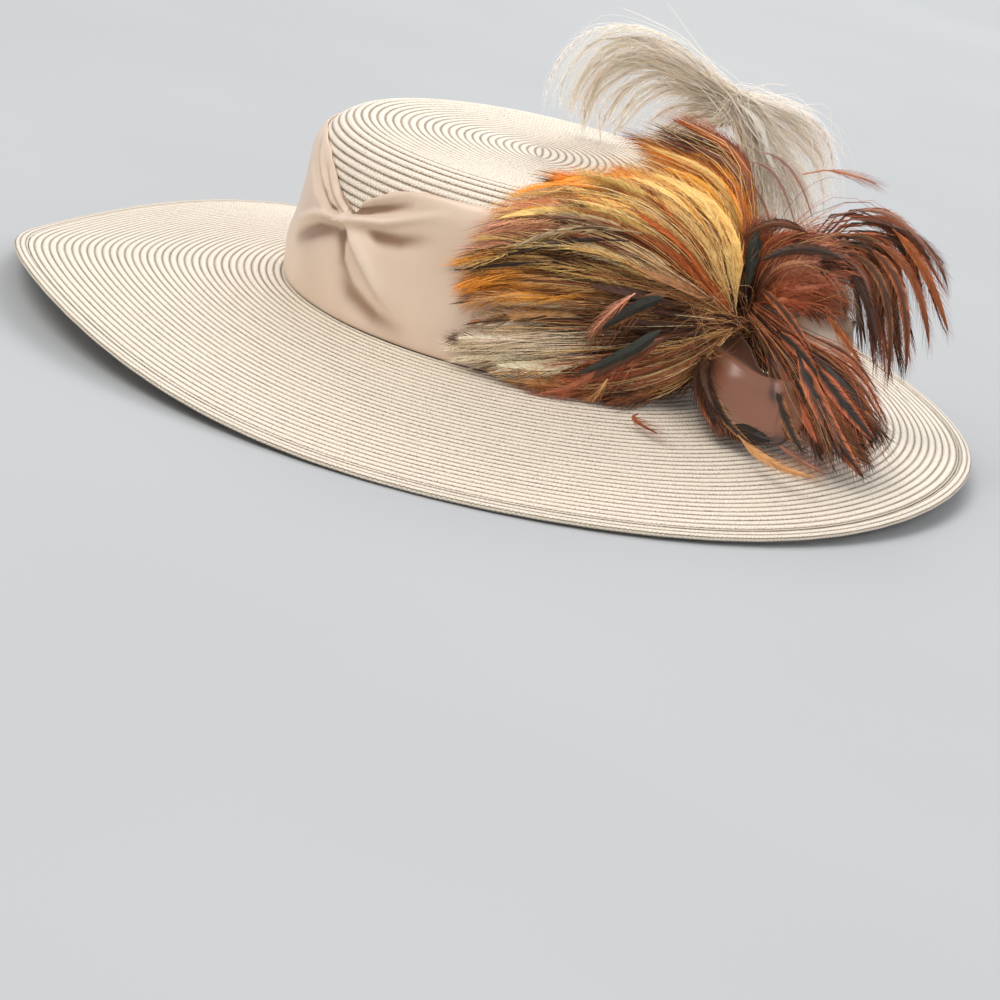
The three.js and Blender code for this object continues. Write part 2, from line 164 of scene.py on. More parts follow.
class Finish:
    """A material under construction: short calls that add and join its nodes."""

    def __init__(self, name, **settings):
        self.material = bpy.data.materials.new(name)
        self.material.use_nodes = True
        self.tree = self.material.node_tree
        self.shader = self.tree.nodes["Principled BSDF"]
        for socket, value in settings.items():
            self.shader.inputs[socket.replace("_", " ")].default_value = value

    def node(self, kind, inputs=None, **settings):
        made = self.tree.nodes.new("ShaderNode" + kind)
        for key, value in settings.items():
            setattr(made, key, value)
        for key, value in (inputs or {}).items():
            self.plug(made.inputs[key], value)
        return made

    def plug(self, socket, value):
        if isinstance(value, bpy.types.NodeSocket):
            self.tree.links.new(value, socket)
        else:
            socket.default_value = value

    def math(self, operation, *values):
        made = self.node("Math", operation=operation)
        for socket, value in zip(made.inputs, values):
            self.plug(socket, value)
        return made.outputs[0]

    def mix(self, share, low, high, kind="MIX"):
        made = self.node("Mix", data_type="RGBA", blend_type=kind)
        # The node's sockets for colours come after those for numbers and vectors
        share_socket, low_socket, high_socket, colour_socket = 0, 6, 7, 2
        self.plug(made.inputs[share_socket], share)
        self.plug(made.inputs[low_socket], low)
        self.plug(made.inputs[high_socket], high)
        return made.outputs[colour_socket]

    def times(self, value, factor):
        return self.math("MULTIPLY", value, factor)

    def add(self, value, other):
        return self.math("ADD", value, other)

    def ramp(self, value, low, high, start=0.0, end=1.0):
        made = self.node("MapRange", {0: value, 1: low, 2: high, 3: start, 4: end},
                         interpolation_type="SMOOTHSTEP")
        return made.outputs[0]

    def noise(self, vector, scale, detail=2.0):
        made = self.node("TexNoise", {"Vector": vector, "Scale": scale, "Detail": detail})
        return made.outputs["Fac"]

    def uv(self, name):
        return self.node("UVMap", uv_map=name).outputs[0]

    def place(self):
        return self.node("TexCoord").outputs["Object"]

    def split(self, vector):
        made = self.node("SeparateXYZ", {0: vector})
        return made.outputs[0], made.outputs[1], made.outputs[2]

    def join(self, x, y, z=0.0):
        return self.node("CombineXYZ", {0: x, 1: y, 2: z}).outputs[0]

    def colour(self, value):
        self.plug(self.shader.inputs["Base Color"], value)

    def rough(self, value):
        self.plug(self.shader.inputs["Roughness"], value)

    def bump(self, height, distance, strength=1.0):
        made = self.node("Bump", {"Height": height, "Distance": distance, "Strength": strength})
        self.plug(self.shader.inputs["Normal"], made.outputs[0])


def rgb(red, green, blue):
    return (red, green, blue, 1.0)


def straw_finish(name, lit_crest, shaded_trough, gap_shade):
    """Plaited straw. Its map runs in millimetres along a row and in whole rows across."""
    f = Finish(name, Roughness=0.42, Specular_IOR_Level=0.4, Sheen_Weight=0.1)
    along, across, _ = f.split(f.uv("braid"))
    row = f.math("FRACT", across)
    middle = f.math("ABSOLUTE", f.math("SUBTRACT", row, 0.5))
    # Straws cross the row in a herringbone, a little uneven from place to place
    herringbone, unevenness = 10.0, 6.0
    wander = f.noise(f.join(f.times(along, 0.12), across), 1.0, 3.0)
    slant = f.add(f.times(along, 2 * math.pi / PLAIT), f.times(middle, herringbone))
    plait = f.math("SINE", f.add(slant, f.times(wander, unevenness)))
    plait = f.add(f.times(plait, 0.5), 0.5)
    fleck = f.noise(f.join(f.times(along, 1.5), f.times(across, 4.5)), 1.0, 2.0)
    # Painted shade darkens the groove between rows, in a broken and jagged line
    jagged, line_start, line_end, palest = 0.35, 0.35, 0.46, 0.7
    ragged = f.add(middle, f.times(f.math("SUBTRACT", fleck, 0.5), jagged))
    patches = f.noise(f.join(f.times(along, 0.05), f.times(across, 0.4)), 1.0)
    shaded_groove = f.times(f.ramp(ragged, line_start, line_end), f.ramp(patches, 0.3, 0.7, palest, 1.0))
    # Painted shade darkens small hollows between the straws
    hollow = f.times(f.ramp(fleck, 0.565, 0.65), f.ramp(plait, 0.9, 0.2))
    row_shade, plait_shade, hollow_shade, line_shade = 0.75, 0.34, 0.65, 0.86
    # Each row gets a painted highlight along its crest and painted shade towards its edges
    body = f.mix(f.ramp(middle, 0.10, 0.42, 0.0, row_shade), lit_crest, shaded_trough)
    body = f.mix(f.times(plait, plait_shade), body, shaded_trough)
    body = f.mix(f.times(hollow, hollow_shade), body, gap_shade)
    f.colour(f.mix(f.times(shaded_groove, line_shade), body, gap_shade))
    f.rough(f.ramp(fleck, 0.3, 0.7, 0.26, 0.55))
    height = f.add(f.times(plait, 0.5), f.times(fleck, 0.6))
    f.bump(f.math("SUBTRACT", height, shaded_groove), 0.45 * MM)
    return f.material


def satin_finish(name, light, colour, painted_shade_and_grain, sheen):
    """Satin ribbon: a soft gloss and a fine crosswise grain. Its map runs in millimetres."""
    f = Finish(name, Roughness=0.32, Specular_IOR_Level=0.55, Anisotropic=0.4, Sheen_Weight=0.3,
               Sheen_Roughness=0.35, Sheen_Tint=sheen)
    along, up, _ = f.split(f.uv("cloth"))
    grain = f.noise(f.join(f.times(along, 0.9), f.times(up, 9.0)), 1.0, 3.0)
    # Painted shade deepens the colour in the hollows of the folds and a painted highlight pales their ridges
    fold = f.node("Attribute", attribute_name="fold").outputs["Fac"]
    shade = f.mix(f.ramp(fold, 0.2, -1.35), colour, painted_shade_and_grain)
    shade = f.mix(f.ramp(fold, 0.7, 2.4, 0.0, 0.4), shade, light)
    cloud = f.noise(f.place(), 28.0, 2.0)
    shade = f.mix(f.ramp(cloud, 0.3, 0.8, 0.0, 0.12), shade, painted_shade_and_grain)
    f.colour(f.mix(f.ramp(grain, 0.35, 0.7, 0.0, 0.08), shade, painted_shade_and_grain))
    f.rough(f.ramp(grain, 0.3, 0.7, 0.28, 0.38))
    f.bump(grain, 0.06 * MM, 0.3)
    return f.material


def feather_finish(name):
    """Feather vanes. The map runs from root to tip and edge to edge, and attributes hold the dyes."""
    f = Finish(name, Roughness=0.5, Specular_IOR_Level=0.3, Sheen_Weight=0.06, Sheen_Roughness=0.4)
    along, across, _ = f.split(f.uv("vane"))
    dye = f.node("Attribute", attribute_name="dye").outputs["Color"]
    dark = f.node("Attribute", attribute_name="dark").outputs["Color"]
    spots, heart, tip = f.split(f.node("Attribute", attribute_name="pattern").outputs["Vector"])
    side = f.math("ABSOLUTE", f.math("SUBTRACT", f.times(across, 2.0), 1.0))
    mottle = f.noise(f.place(), 150.0, 3.0)
    # Fine lines follow the barbs, which leave the quill slanting forwards
    barb_lines, barb_slant = 60.0, 11.0
    slant = f.math("SUBTRACT", f.times(along, barb_lines), f.times(side, barb_slant))
    streak = f.noise(f.join(slant, f.times(across, 2.5), mottle), 1.6, 3.0)
    patch = f.noise(f.join(f.times(along, 5.0), f.times(across, 6.0), mottle), 1.0, 2.0)
    # The dark colour lies in spots, down the middle and at the tip, each as strong as the feather says
    spotted = f.times(f.ramp(patch, 0.53, 0.60), spots)
    centre = f.times(f.ramp(f.add(side, f.times(mottle, 0.5)), 0.75, 0.35), heart)
    ends = f.times(f.ramp(f.add(along, f.times(mottle, 0.2)), 0.86, 0.98), tip)
    mark = f.math("MAXIMUM", f.math("MAXIMUM", spotted, centre), ends)
    dull, bright = rgb(0.70, 0.54, 0.40), rgb(1.25, 1.22, 1.15)
    ground = f.mix(f.ramp(streak, 0.48, 0.66), dye, dull, "MULTIPLY")
    ground = f.mix(f.ramp(streak, 0.46, 0.32), ground, bright, "MULTIPLY")
    f.colour(f.mix(mark, ground, dark))
    f.bump(streak, 0.1 * MM, 0.4)
    return f.material


def heart_finish(name, light, shade):
    """The bound heart of the knot: one dark colour, a little varied from place to place."""
    f = Finish(name, Roughness=0.6, Specular_IOR_Level=0.3, Sheen_Weight=0.3)
    patch = f.noise(f.place(), 90.0, 3.0)
    f.colour(f.mix(f.ramp(patch, 0.3, 0.7), shade, light))
    f.bump(patch, 0.2 * MM, 0.3)
    return f.material


def herl_finish(name):
    """Fine pale herl that light passes through; each strand's dye comes with it."""
    f = Finish(name, Roughness=0.5, Specular_IOR_Level=0.4, Sheen_Weight=0.3, Sheen_Roughness=0.4,
               Subsurface_Weight=0.8, Subsurface_Radius=(1.0, 1.0, 1.0), Subsurface_Scale=2.5 * MM)
    dye = f.node("Attribute", attribute_name="dye").outputs["Color"]
    patch = f.noise(f.place(), 110.0, 3.0)
    f.colour(f.mix(f.ramp(patch, 0.4, 0.7, 0.0, 0.45), dye, rgb(0.92, 0.80, 0.64), "MULTIPLY"))
    f.bump(patch, 0.1 * MM, 0.3)
    return f.material


def floor_finish():
    """A plain pale grey, hardly uneven."""
    f = Finish("pale_floor", Roughness=0.8, Specular_IOR_Level=0.15)
    cloud = f.ramp(f.noise(f.place(), 3.0, 2.0), 0.3, 0.7)
    f.colour(f.mix(cloud, rgb(0.42, 0.43, 0.435), rgb(0.44, 0.45, 0.455)))
    return f.material


# The straw's crest colour is a painted highlight, its trough colour painted shade, and its darkest colour
# painted shade in the gaps between rows and straws
STRAW = straw_finish("straw_braid", lit_crest=rgb(0.92, 0.83, 0.70), shaded_trough=rgb(0.64, 0.51, 0.36),
                     gap_shade=rgb(0.15, 0.09, 0.045))
# Each satin's pale colour is a painted highlight for its ridges; its dark colour is painted shade in its
# hollows and also tints its mottle and grain
CHAMPAGNE = satin_finish("champagne_satin", light=rgb(0.86, 0.73, 0.60), colour=rgb(0.71, 0.545, 0.41),
                         painted_shade_and_grain=rgb(0.25, 0.135, 0.07), sheen=rgb(1.0, 0.9, 0.8))
COPPER = satin_finish("copper_satin", light=rgb(0.62, 0.36, 0.24), colour=rgb(0.20, 0.074, 0.037),
                      painted_shade_and_grain=rgb(0.06, 0.022, 0.012), sheen=rgb(1.0, 0.75, 0.6))
VANES = feather_finish("feather_vanes")
HERL = herl_finish("pale_herl")
QUILLS = heart_finish("dark_strands", light=rgb(0.16, 0.07, 0.035), shade=rgb(0.05, 0.02, 0.012))


# Modelling helpers

def choose_none():
    bpy.ops.object.select_all(action="DESELECT")


def choose(piece):
    choose_none()
    piece.select_set(True)
    bpy.context.view_layer.objects.active = piece


def corner_vertices(mesh):
    """The number of the vertex at each corner of each face."""
    corner = np.empty(len(mesh.loops), int)
    mesh.loops.foreach_get("vertex_index", corner)
    return corner


def grid(name, columns, rows):
    """A flat grid with one vertex per crossing; its vertices run from -1 to 1 both ways."""
    choose_none()
    bpy.ops.mesh.primitive_grid_add(x_subdivisions=columns, y_subdivisions=rows, size=2)
    made = bpy.context.object
    made.name = name
    made.data.name = name
    return made


def shares(piece):
    """Each vertex's place on its grid, as two shares from 0 to 1."""
    flat = np.empty(len(piece.data.vertices) * 3)
    piece.data.vertices.foreach_get("co", flat)
    flat = flat.reshape(-1, 3)
    return (flat[:, 0] + 1) / 2, (flat[:, 1] + 1) / 2


def shape(piece, points, map_name, across, up):
    """Moves the vertices to their places and gives every corner its place on the piece's own map."""
    mesh = piece.data
    mesh.vertices.foreach_set("co", np.ascontiguousarray(points, float).ravel())
    layer = mesh.uv_layers[0]
    layer.name = map_name
    corner = corner_vertices(mesh)
    layer.data.foreach_set("uv", np.stack([across[corner], up[corner]], axis=-1).ravel())
    mesh.update()


def weld(piece):
    """Closes a wrapped grid's seams and turns its faces outwards, all of them together."""
    distance = 0.01 * MM
    choose(piece)
    bpy.ops.object.mode_set(mode="EDIT")
    bpy.ops.mesh.select_all(action="SELECT")
    bpy.ops.mesh.remove_doubles(threshold=distance)
    bpy.ops.mesh.dissolve_degenerate(threshold=distance)
    bpy.ops.object.mode_set(mode="OBJECT")
    mesh = piece.data
    mesh.calc_loop_triangles()
    volume = 0.0
    for triangle in mesh.loop_triangles:
        a, b, c = (mesh.vertices[index].co for index in triangle.vertices)
        volume += a.dot(b.cross(c))
    if volume < 0:
        mesh.flip_normals()
    bpy.ops.object.shade_smooth()
    choose_none()


def open_fold(piece):
    """Takes out the walls left standing where the two halves of a tip's middle met."""
    reach = 0.02 * MM
    choose(piece)
    bpy.ops.object.mode_set(mode="EDIT")
    bpy.ops.mesh.select_mode(type="FACE")
    bpy.ops.mesh.select_all(action="DESELECT")
    bpy.ops.object.mode_set(mode="OBJECT")
    for polygon in piece.data.polygons:
        polygon.select = all(abs(piece.data.vertices[index].co.x) < reach for index in polygon.vertices)
    bpy.ops.object.mode_set(mode="EDIT")
    bpy.ops.mesh.delete(type="ONLY_FACE")
    bpy.ops.mesh.select_mode(type="VERT")
    bpy.ops.object.mode_set(mode="OBJECT")
    choose_none()


def apply(piece, kind, **settings):
    modifier = piece.modifiers.new(kind.lower(), kind)
    for key, value in settings.items():
        setattr(modifier, key, value)
    choose(piece)
    bpy.ops.object.modifier_apply(modifier=modifier.name)
    choose_none()


def settle(piece, material, slot, *nodes):
    """Gives a finished piece its material and its body, and hides the nodes it stands for. Its slot is not
    used.
    """
    piece.data.materials.clear()
    piece.data.materials.append(material)
    if nodes:
        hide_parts(*nodes)
    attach(piece, "root")


# Straw: sewn rows of braid as one spiral, rounded on the outside and flatter within

# Where the rows start and end, in degrees round the hat: at the back
BACK_SEAM = -270


def row_profile(start, end, pitch, points, ridge):
    """Distances from start to end with a few points to each row, each one's height and its row."""
    roundness = 0.55
    rows = int(round(abs(end - start) / pitch))
    shares_in_row = np.linspace(0, 1, points, endpoint=False)
    places = (np.arange(rows)[:, None] + shares_in_row[None, :]).ravel()
    places = np.append(places, rows)
    heights = ridge * np.abs(np.sin(np.pi * places)) ** roundness
    return start + (end - start) * places / rows, heights, places


def braided_ring(name, place, start, end, pitch, lift_out, lift_in, steps, points, low_points, ridge,
                 calm=1.0):
    """A closed wall of braid rows: place(around, distance, lift) turns rows into points."""
    inside_ridge = ridge * 0.6
    front, front_heights, front_rows = row_profile(start, end, pitch, points, ridge)
    back, back_heights, back_rows = row_profile(end, start, pitch, low_points, inside_ridge)
    # The rows lie flatter towards the wall's far end
    front_heights = front_heights * np.interp(front_rows / front_rows[-1], (0.5, 1.0), (1.0, calm))
    distance = np.concatenate([front, back, front[:1]])
    lift = np.concatenate([lift_out + front_heights, lift_in - back_heights, [lift_out + front_heights[0]]])
    rows = np.concatenate([front_rows, front_rows[-1] - back_rows, front_rows[:1]])
    piece = grid(name, steps, len(distance) - 1)
    turn, section = shares(piece)
    index = np.rint(section * (len(distance) - 1)).astype(int)
    # One turn round the hat moves each row on by its own width
    spiral = turn * (front[points] - front[0])
    shifted = np.clip(distance[index] + spiral, start, end)
    points_at = place(turn * 360 + BACK_SEAM, shifted, lift[index])
    shape(piece, points_at, "braid", turn, rows[index])
    ring = np.hypot(points_at[:, 0], points_at[:, 1]) / MM
    measure_rows(piece, turn, rows[index], ring)
    weld(piece)
    return piece


def measure_rows(piece, turn, rows, ring):
    """Gives each row of a braid its own length in whole plaits, so that no row's pattern slants."""
    corner = corner_vertices(piece.data)
    nudge = 1e-6
    face_row = np.repeat(np.floor(rows[corner].reshape(-1, 4).mean(axis=1) + nudge), 4).astype(int)
    nearest = np.clip(np.floor(rows), 0, face_row.max()).astype(int)
    radius = np.bincount(nearest, ring) / np.maximum(np.bincount(nearest), 1)
    plaits = np.maximum(np.round(2 * math.pi * radius / PLAIT), 1)
    flat = np.stack([turn[corner] * plaits[face_row] * PLAIT, rows[corner]], axis=-1)
    piece.data.uv_layers["braid"].data.foreach_set("uv", flat.ravel())


def make_brim():
    piece = braided_ring("braided_brim", brim_point, start=-(STRAW_INSET + STRAW_WALL),
                         end=BRIM_WIDTH - EDGE_WIDTH - GAP, pitch=BRIM_PITCH, lift_out=-0.5,
                         lift_in=0.3 - STRAW_WALL, steps=300, points=4, low_points=3, ridge=0.40)
    settle(piece, STRAW, "straw", "brim")


def make_crown():
    sag, slew = 0.5, 40

    def place(around, climb, lift):
        """The crown's own places, with a slightly warped tip."""
        tip = np.clip((climb - SHOULDER_TOP) / TIP_REACH, 0, 1)
        warp = sag * np.sin(tip * math.pi) * np.sin(np.radians(2 * around + slew))
        return crown_point(around, climb, lift + warp)

    piece = braided_ring("braided_crown", place, start=GAP, end=SHOULDER_TOP + TIP_REACH, pitch=CROWN_PITCH,
                         lift_out=-0.7, lift_in=0.2 - STRAW_WALL, steps=220, points=4, low_points=2,
                         ridge=0.65, calm=0.15)
    open_fold(piece)
    settle(piece, STRAW, "straw", "crown")


def make_edge():
    """The doubled outer row: two rolls of braid side by side, folded under, its outline plaited."""
    section_points, steps, plaits = 14, 1920, 640
    zigzag, wobble, wobbles = 0.20, 0.06, 61
    half_width, half_height, sunk = EDGE_WIDTH / 2, 1.35, 0.8
    groove_depth, groove_width = 0.45, 0.25
    map_plaits, map_rows = 739, 7
    turns = np.linspace(0, 2 * math.pi, section_points + 1)
    piece = grid("braided_edge", steps, section_points)
    turn, section = shares(piece)
    angle = turns[np.rint(section * section_points).astype(int)]
    uneven = zigzag * np.cos(turn * plaits * 2 * math.pi) + wobble * np.cos(turn * wobbles * 2 * math.pi)
    out = BRIM_WIDTH - half_width - (half_width + uneven) * np.cos(angle)
    groove = 1 - groove_depth * np.exp(-(np.cos(angle) / groove_width) ** 2)
    lift = half_height * np.sin(angle) * groove - sunk
    points_at = brim_point(turn * 360 + BACK_SEAM, out, lift)
    shape(piece, points_at, "braid", turn * PLAIT * map_plaits, section * map_rows)
    weld(piece)
    settle(piece, STRAW, "straw", "brim_edge")


# Satin band

# Folds of the band as lines of (angle round the crown, height up the wall, rise); the widths are
# how far each one spreads above and below its line
BAND_FOLDS = table("line above below", [
    # the rolled ridge under the pinch, and its run to the left
    ([(-139, 36.5, 2.8), (-135, 38.5, 3.2), (-130, 40.6, 3.0), (-124, 43, 2.4), (-117, 47.6, 1.4),
      (-108, 53, 0.2)], 1.5, 2.3),
    ([(-137, 37, 2.2), (-143, 35.8, 2.3), (-150, 33.5, 1.9), (-160, 27, 1.1), (-172, 20, 0.1)], 1.6, 2.4),
    # the pocket above it, with painted shade where it is deepest
    ([(-136, 41, -1.6), (-133, 42.6, -2.2), (-130, 44.4, -1.9), (-125, 47.4, -1.5), (-118, 52, -0.3)],
     2.0, 1.4),
    ([(-135.8, 41.1, -2.4), (-133, 42.3, -2.8), (-129, 44.2, -0.5)], 0.9, 0.9),
    # the upper flap
    ([(-134, 44, 0.9), (-129, 50, 1.5), (-120, 55.5, 1.1), (-108, 58.5, 0.2)], 2.0, 2.4),
    # the bright lobe below, with a sharp crease on its left
    ([(-135, 35.0, 1.8), (-131.5, 30.5, 3.0), (-127, 25, 2.8), (-122, 18, 1.6), (-115, 11, 0.2)], 5.6, 2.4),
    ([(-136.8, 35, -1.0), (-137, 30, -1.4), (-135, 22, -1.0), (-130, 15, -0.7), (-122, 9.5, -0.2)],
     1.6, 3.0),
    ([(-131, 36.6, -0.6), (-126, 36.4, -1.5), (-119, 38, -1.3), (-111, 42, -0.2)], 2.4, 3.4),
    ([(-140, 32, -1.0), (-148, 28.5, -1.6), (-158, 21, -1.0), (-168, 15, -0.1)], 2.2, 4.0),
    ([(-136, 17, -0.1), (-130, 11.5, -0.9), (-121, 7.5, -0.9), (-111, 5, -0.1)], 2.6, 4.0),
    # pleats gathered into the pinch from above
    ([(-166, 57, -0.2), (-158, 50, -1.0), (-150, 43, -1.7), (-144.5, 38.8, -1.8), (-139, 38, -0.9)],
     1.1, 1.1),
    ([(-152, 51, -0.4), (-147, 44, -1.5), (-142, 40.2, -1.8), (-138, 39.4, -0.9)], 0.9, 0.9),
    ([(-146, 49, -0.3), (-141, 44, -1.3), (-137.5, 41.2, -1.2)], 0.8, 0.8),
    ([(-160, 54, 0.5), (-151, 46.5, 1.3), (-144.5, 41, 1.7), (-138.5, 38.4, 1.4)], 1.3, 1.3),
    ([(-149, 50, 0.6), (-143.5, 44, 1.4), (-138.5, 40.3, 1.5)], 1.1, 1.1),
    ([(-172, 55, 0.2), (-163, 46, 1.0), (-153, 38.5, 1.4), (-146, 36.5, 1.2)], 2.4, 1.8),
    # long soft swells where the ribbon hangs loose
    ([(-108, 22, 0.0), (-96, 26, 0.5), (-80, 28, 0.0)], 7.0, 7.0),
    ([(-190, 14, 0.8), (-176, 13, 1.6), (-160, 11, 0.2)], 9.0, 8.0),
    ([(-196, 38, -0.2), (-180, 37, -0.7), (-168, 38, 0.0)], 6.0, 6.0),
    ([(150, 30, 0.3), (165, 42, 0.9), (178, 50, 0.2)], 5.0, 4.0),
    ([(95, 18, 0.0), (112, 24, 0.8), (132, 22, 0.0)], 6.0, 5.0),
    ([(60, 40, 0.0), (82, 34, -0.6), (104, 38, 0.0)], 5.0, 6.0),
    ([(-10, 22, 0.0), (16, 30, 0.7), (38, 27, 0.0)], 6.0, 5.0),
])

# The band's lower edge, its pinch's angle and its mean radius, then how far its face lies off the straw:
# where it has no fold, at the least and at the most. Its hems are pressed flat this wide and this deep
BAND_BOTTOM = 0.45
BAND_MIDDLE = -134.5
BAND_RADIUS = 95.0
BAND_REST = 1.35
BAND_LOW, BAND_HIGH = 0.45, 5.5
HEM_WIDTH, HEM_DEPTH = 1.4, 0.35


def band_top(around):
    turned = (around + 180) % 360 - 180
    return np.interp(turned, [r["around"] for r in BAND_TOP], [r["height"] for r in BAND_TOP])


def along_band(around):
    """Millimetres round the band from its pinch, positive towards the viewer's right."""
    return np.radians((np.asarray(around) - BAND_MIDDLE + 180) % 360 - 180) * BAND_RADIUS


def fold_rise(along, up, line, above, below):
    """One fold's height: the tallest that any stretch of its line gives."""
    best = np.zeros_like(along)
    points = [(float(along_band(a)), h, rise) for a, h, rise in line]
    for (x0, y0, r0), (x1, y1, r1) in zip(points, points[1:]):
        dx, dy = x1 - x0, y1 - y0
        size = math.hypot(dx, dy)
        share = np.clip(((along - x0) * dx + (up - y0) * dy) / size ** 2, 0, 1)
        off_x, off_y = along - x0 - share * dx, up - y0 - share * dy
        left = (dx * off_y - dy * off_x) * np.sign(dx) > 0
        spread = np.where(left, above, below)
        value = (r0 + (r1 - r0) * share) * np.exp(-(off_x ** 2 + off_y ** 2) / spread ** 2)
        best = np.where(np.abs(value) > np.abs(best), value, best)
    return best


def band_relief(around, height):
    """The folds of the band and a faint ripple all over it, in millimetres."""
    along = along_band(around)
    rise = sum(fold_rise(along, height, **fold) for fold in BAND_FOLDS)
    ripple = 0.16 * np.sin(along / 19 + 0.6) * np.sin(height / 13) + 0.08 * np.sin(along / 7.3 + height / 9)
    return rise + ripple


def wrapped_angles(turn):
    """Angles round the band, over four times as close together near the pinch as far from it."""
    crowding = 0.10
    return BAND_MIDDLE - 180 + 360 * (turn + crowding * np.sin(2 * math.pi * turn))


def add_fold_attribute(piece, values):
    """What the satin finish reads to paint shade into hollows and a highlight onto ridges: ridges above 0 and
    hollows below it, in millimetres.
    """
    kind = piece.data.attributes.new("fold", "FLOAT", "POINT")
    kind.data.foreach_set("value", np.ascontiguousarray(values, np.float32))


def make_band():
    """A closed sheet: up its folded face, over the upper hem, down its plain back and round again."""
    steps, rows_out, rows_in = 460, 58, 5
    total = rows_out + rows_in + 2
    piece = grid("satin_band", steps, total)
    turn, section = shares(piece)
    index = np.rint(section * total).astype(int)
    around = wrapped_angles(turn)
    top = band_top(around)
    outer = (index <= rows_out) | (index == total)
    share = np.where(index <= rows_out, index / rows_out, 1 - (index - rows_out - 1) / rows_in)
    share = np.clip(np.where(index == total, 0, share), 0, 1)
    tall = top - BAND_BOTTOM
    height = BAND_BOTTOM + tall * share
    relief = band_relief(around, height)
    hem = np.exp(-((1 - share) * tall / HEM_WIDTH) ** 2) + np.exp(-(share * tall / HEM_WIDTH) ** 2)
    lift = np.clip(BAND_REST + relief - HEM_DEPTH * hem, BAND_LOW, BAND_HIGH)
    lift = np.where(outer, lift, GAP)
    shape(piece, crown_point(around, height, lift), "cloth", np.radians(around) * BAND_RADIUS, height)
    # The satin finish paints shade into the hollows of this relief and a highlight onto its ridges
    add_fold_attribute(piece, relief)
    weld(piece)
    settle(piece, CHAMPAGNE, "champagne_satin", "hatband")


# Feathers: each is a closed flat vane on a quill with loose barbs along both sides

# The way most faces of the free feathers look
FORWARDS = np.array((0.05, -1.0, 0.35))


def bend(root, middle, tip, samples=25):
    """A smooth path through three places, as samples from root to tip."""
    root, middle, tip = (np.asarray(place, float) for place in (root, middle, tip))
    t = np.linspace(0, 1, samples)[:, None]
    control = 2 * middle - (root + tip) / 2
    return (1 - t) ** 2 * root + 2 * t * (1 - t) * control + t ** 2 * tip


def unit(vectors):
    return vectors / np.maximum(np.linalg.norm(vectors, axis=-1, keepdims=True), 1e-9)


def flow(points, samples=33):
    """A smooth line through any number of places."""
    points = np.asarray(points, float)
    padded = np.concatenate([2 * points[:1] - points[1:2], points, 2 * points[-1:] - points[-2:-1]])
    at = np.linspace(0, len(points) - 1, samples)
    span = np.minimum(at.astype(int), len(points) - 2)
    t = (at - span)[:, None]
    a, b, c, d = (padded[span + k] for k in range(4))
    return 0.5 * (2 * b + (c - a) * t + (2 * a - 5 * b + 4 * c - d) * t ** 2
                  + (3 * b - a - 3 * c + d) * t ** 3)


# Colours of the feathers, as shares of red, green and blue
DYES = {
    "amber": (0.98, 0.42, 0.05),
    "yellow": (0.95, 0.66, 0.22),
    "gold": (0.94, 0.61, 0.20),
    "straw": (0.95, 0.76, 0.42),
    "cream": (0.92, 0.80, 0.60),
    "tan": (0.66, 0.36, 0.14),
    "brown": (0.38, 0.16, 0.06),
    "rust": (0.50, 0.145, 0.062),
    "orange": (0.64, 0.17, 0.035),
    "pink": (0.80, 0.38, 0.24),
    "mauve": (0.36, 0.17, 0.12),
    "black": (0.022, 0.016, 0.012),
    "green": (0.030, 0.032, 0.022),
    "umber": (0.075, 0.03, 0.014),
    "herl": (1.0, 0.875, 0.71),
    "sand": (0.84, 0.66, 0.46),
}


class Tuft:
    """Many closed slivers gathered into one piece; each vertex has its dyes and its place on its feather."""

    def __init__(self, name, seed):
        self.name = name
        self.random = np.random.default_rng(seed)
        self.points, self.faces, self.traits = [], [], []
        self.total = 0

    def tubes(self, rings, tips, along, across, dye, dark, pattern):
        """Closed tubes of one kind: rings (tube, section, side, 3), then a point at each end of the row."""
        count, sections, sides, _ = rings.shape
        size = sections * sides + 1
        first = self.total + np.arange(count) * size
        points = np.concatenate([rings.reshape(count, -1, 3), tips[:, None, :]], axis=1)
        faces = []
        for section in range(sections - 1):
            for side in range(sides):
                a, b = section * sides + side, section * sides + (side + 1) % sides
                faces += [(a, b, b + sides), (a, b + sides, a + sides)]
        last = (sections - 1) * sides
        faces += [(last + side, last + (side + 1) % sides, size - 1) for side in range(sides)]
        faces += [(0, side + 1, side) for side in range(1, sides - 1)]
        self.points.append(points.reshape(-1, 3))
        self.faces.append((np.array(faces)[None] + first[:, None, None]).reshape(-1, 3))
        self.total += count * size
        traits = np.empty((count, size, 11))
        traits[..., 0], traits[..., 1] = along, across
        traits[..., 2:5], traits[..., 5:8], traits[..., 8:11] = dye, dark, pattern
        self.traits.append(traits.reshape(-1, 11))

    def build(self, material, slot, *nodes):
        """Makes the piece of all the slivers gathered so far."""
        choose_none()
        mesh = bpy.data.meshes.new(self.name)
        points, faces = on_brim(np.concatenate(self.points)), np.concatenate(self.faces)
        traits = np.concatenate(self.traits)
        mesh.from_pydata(points.tolist(), [], faces.tolist())
        layer = mesh.uv_layers.new(name="vane")
        layer.data.foreach_set("uv", traits[corner_vertices(mesh), :2].ravel())
        for name, start in (("dye", 2), ("dark", 5), ("pattern", 8)):
            kind = mesh.attributes.new(name, "FLOAT_VECTOR", "POINT")
            kind.data.foreach_set("vector", np.ascontiguousarray(traits[:, start:start + 3]).ravel())
        mesh.update()
        piece = bpy.data.objects.new(self.name, mesh)
        bpy.context.scene.collection.objects.link(piece)
        settle(piece, material, slot, *nodes)


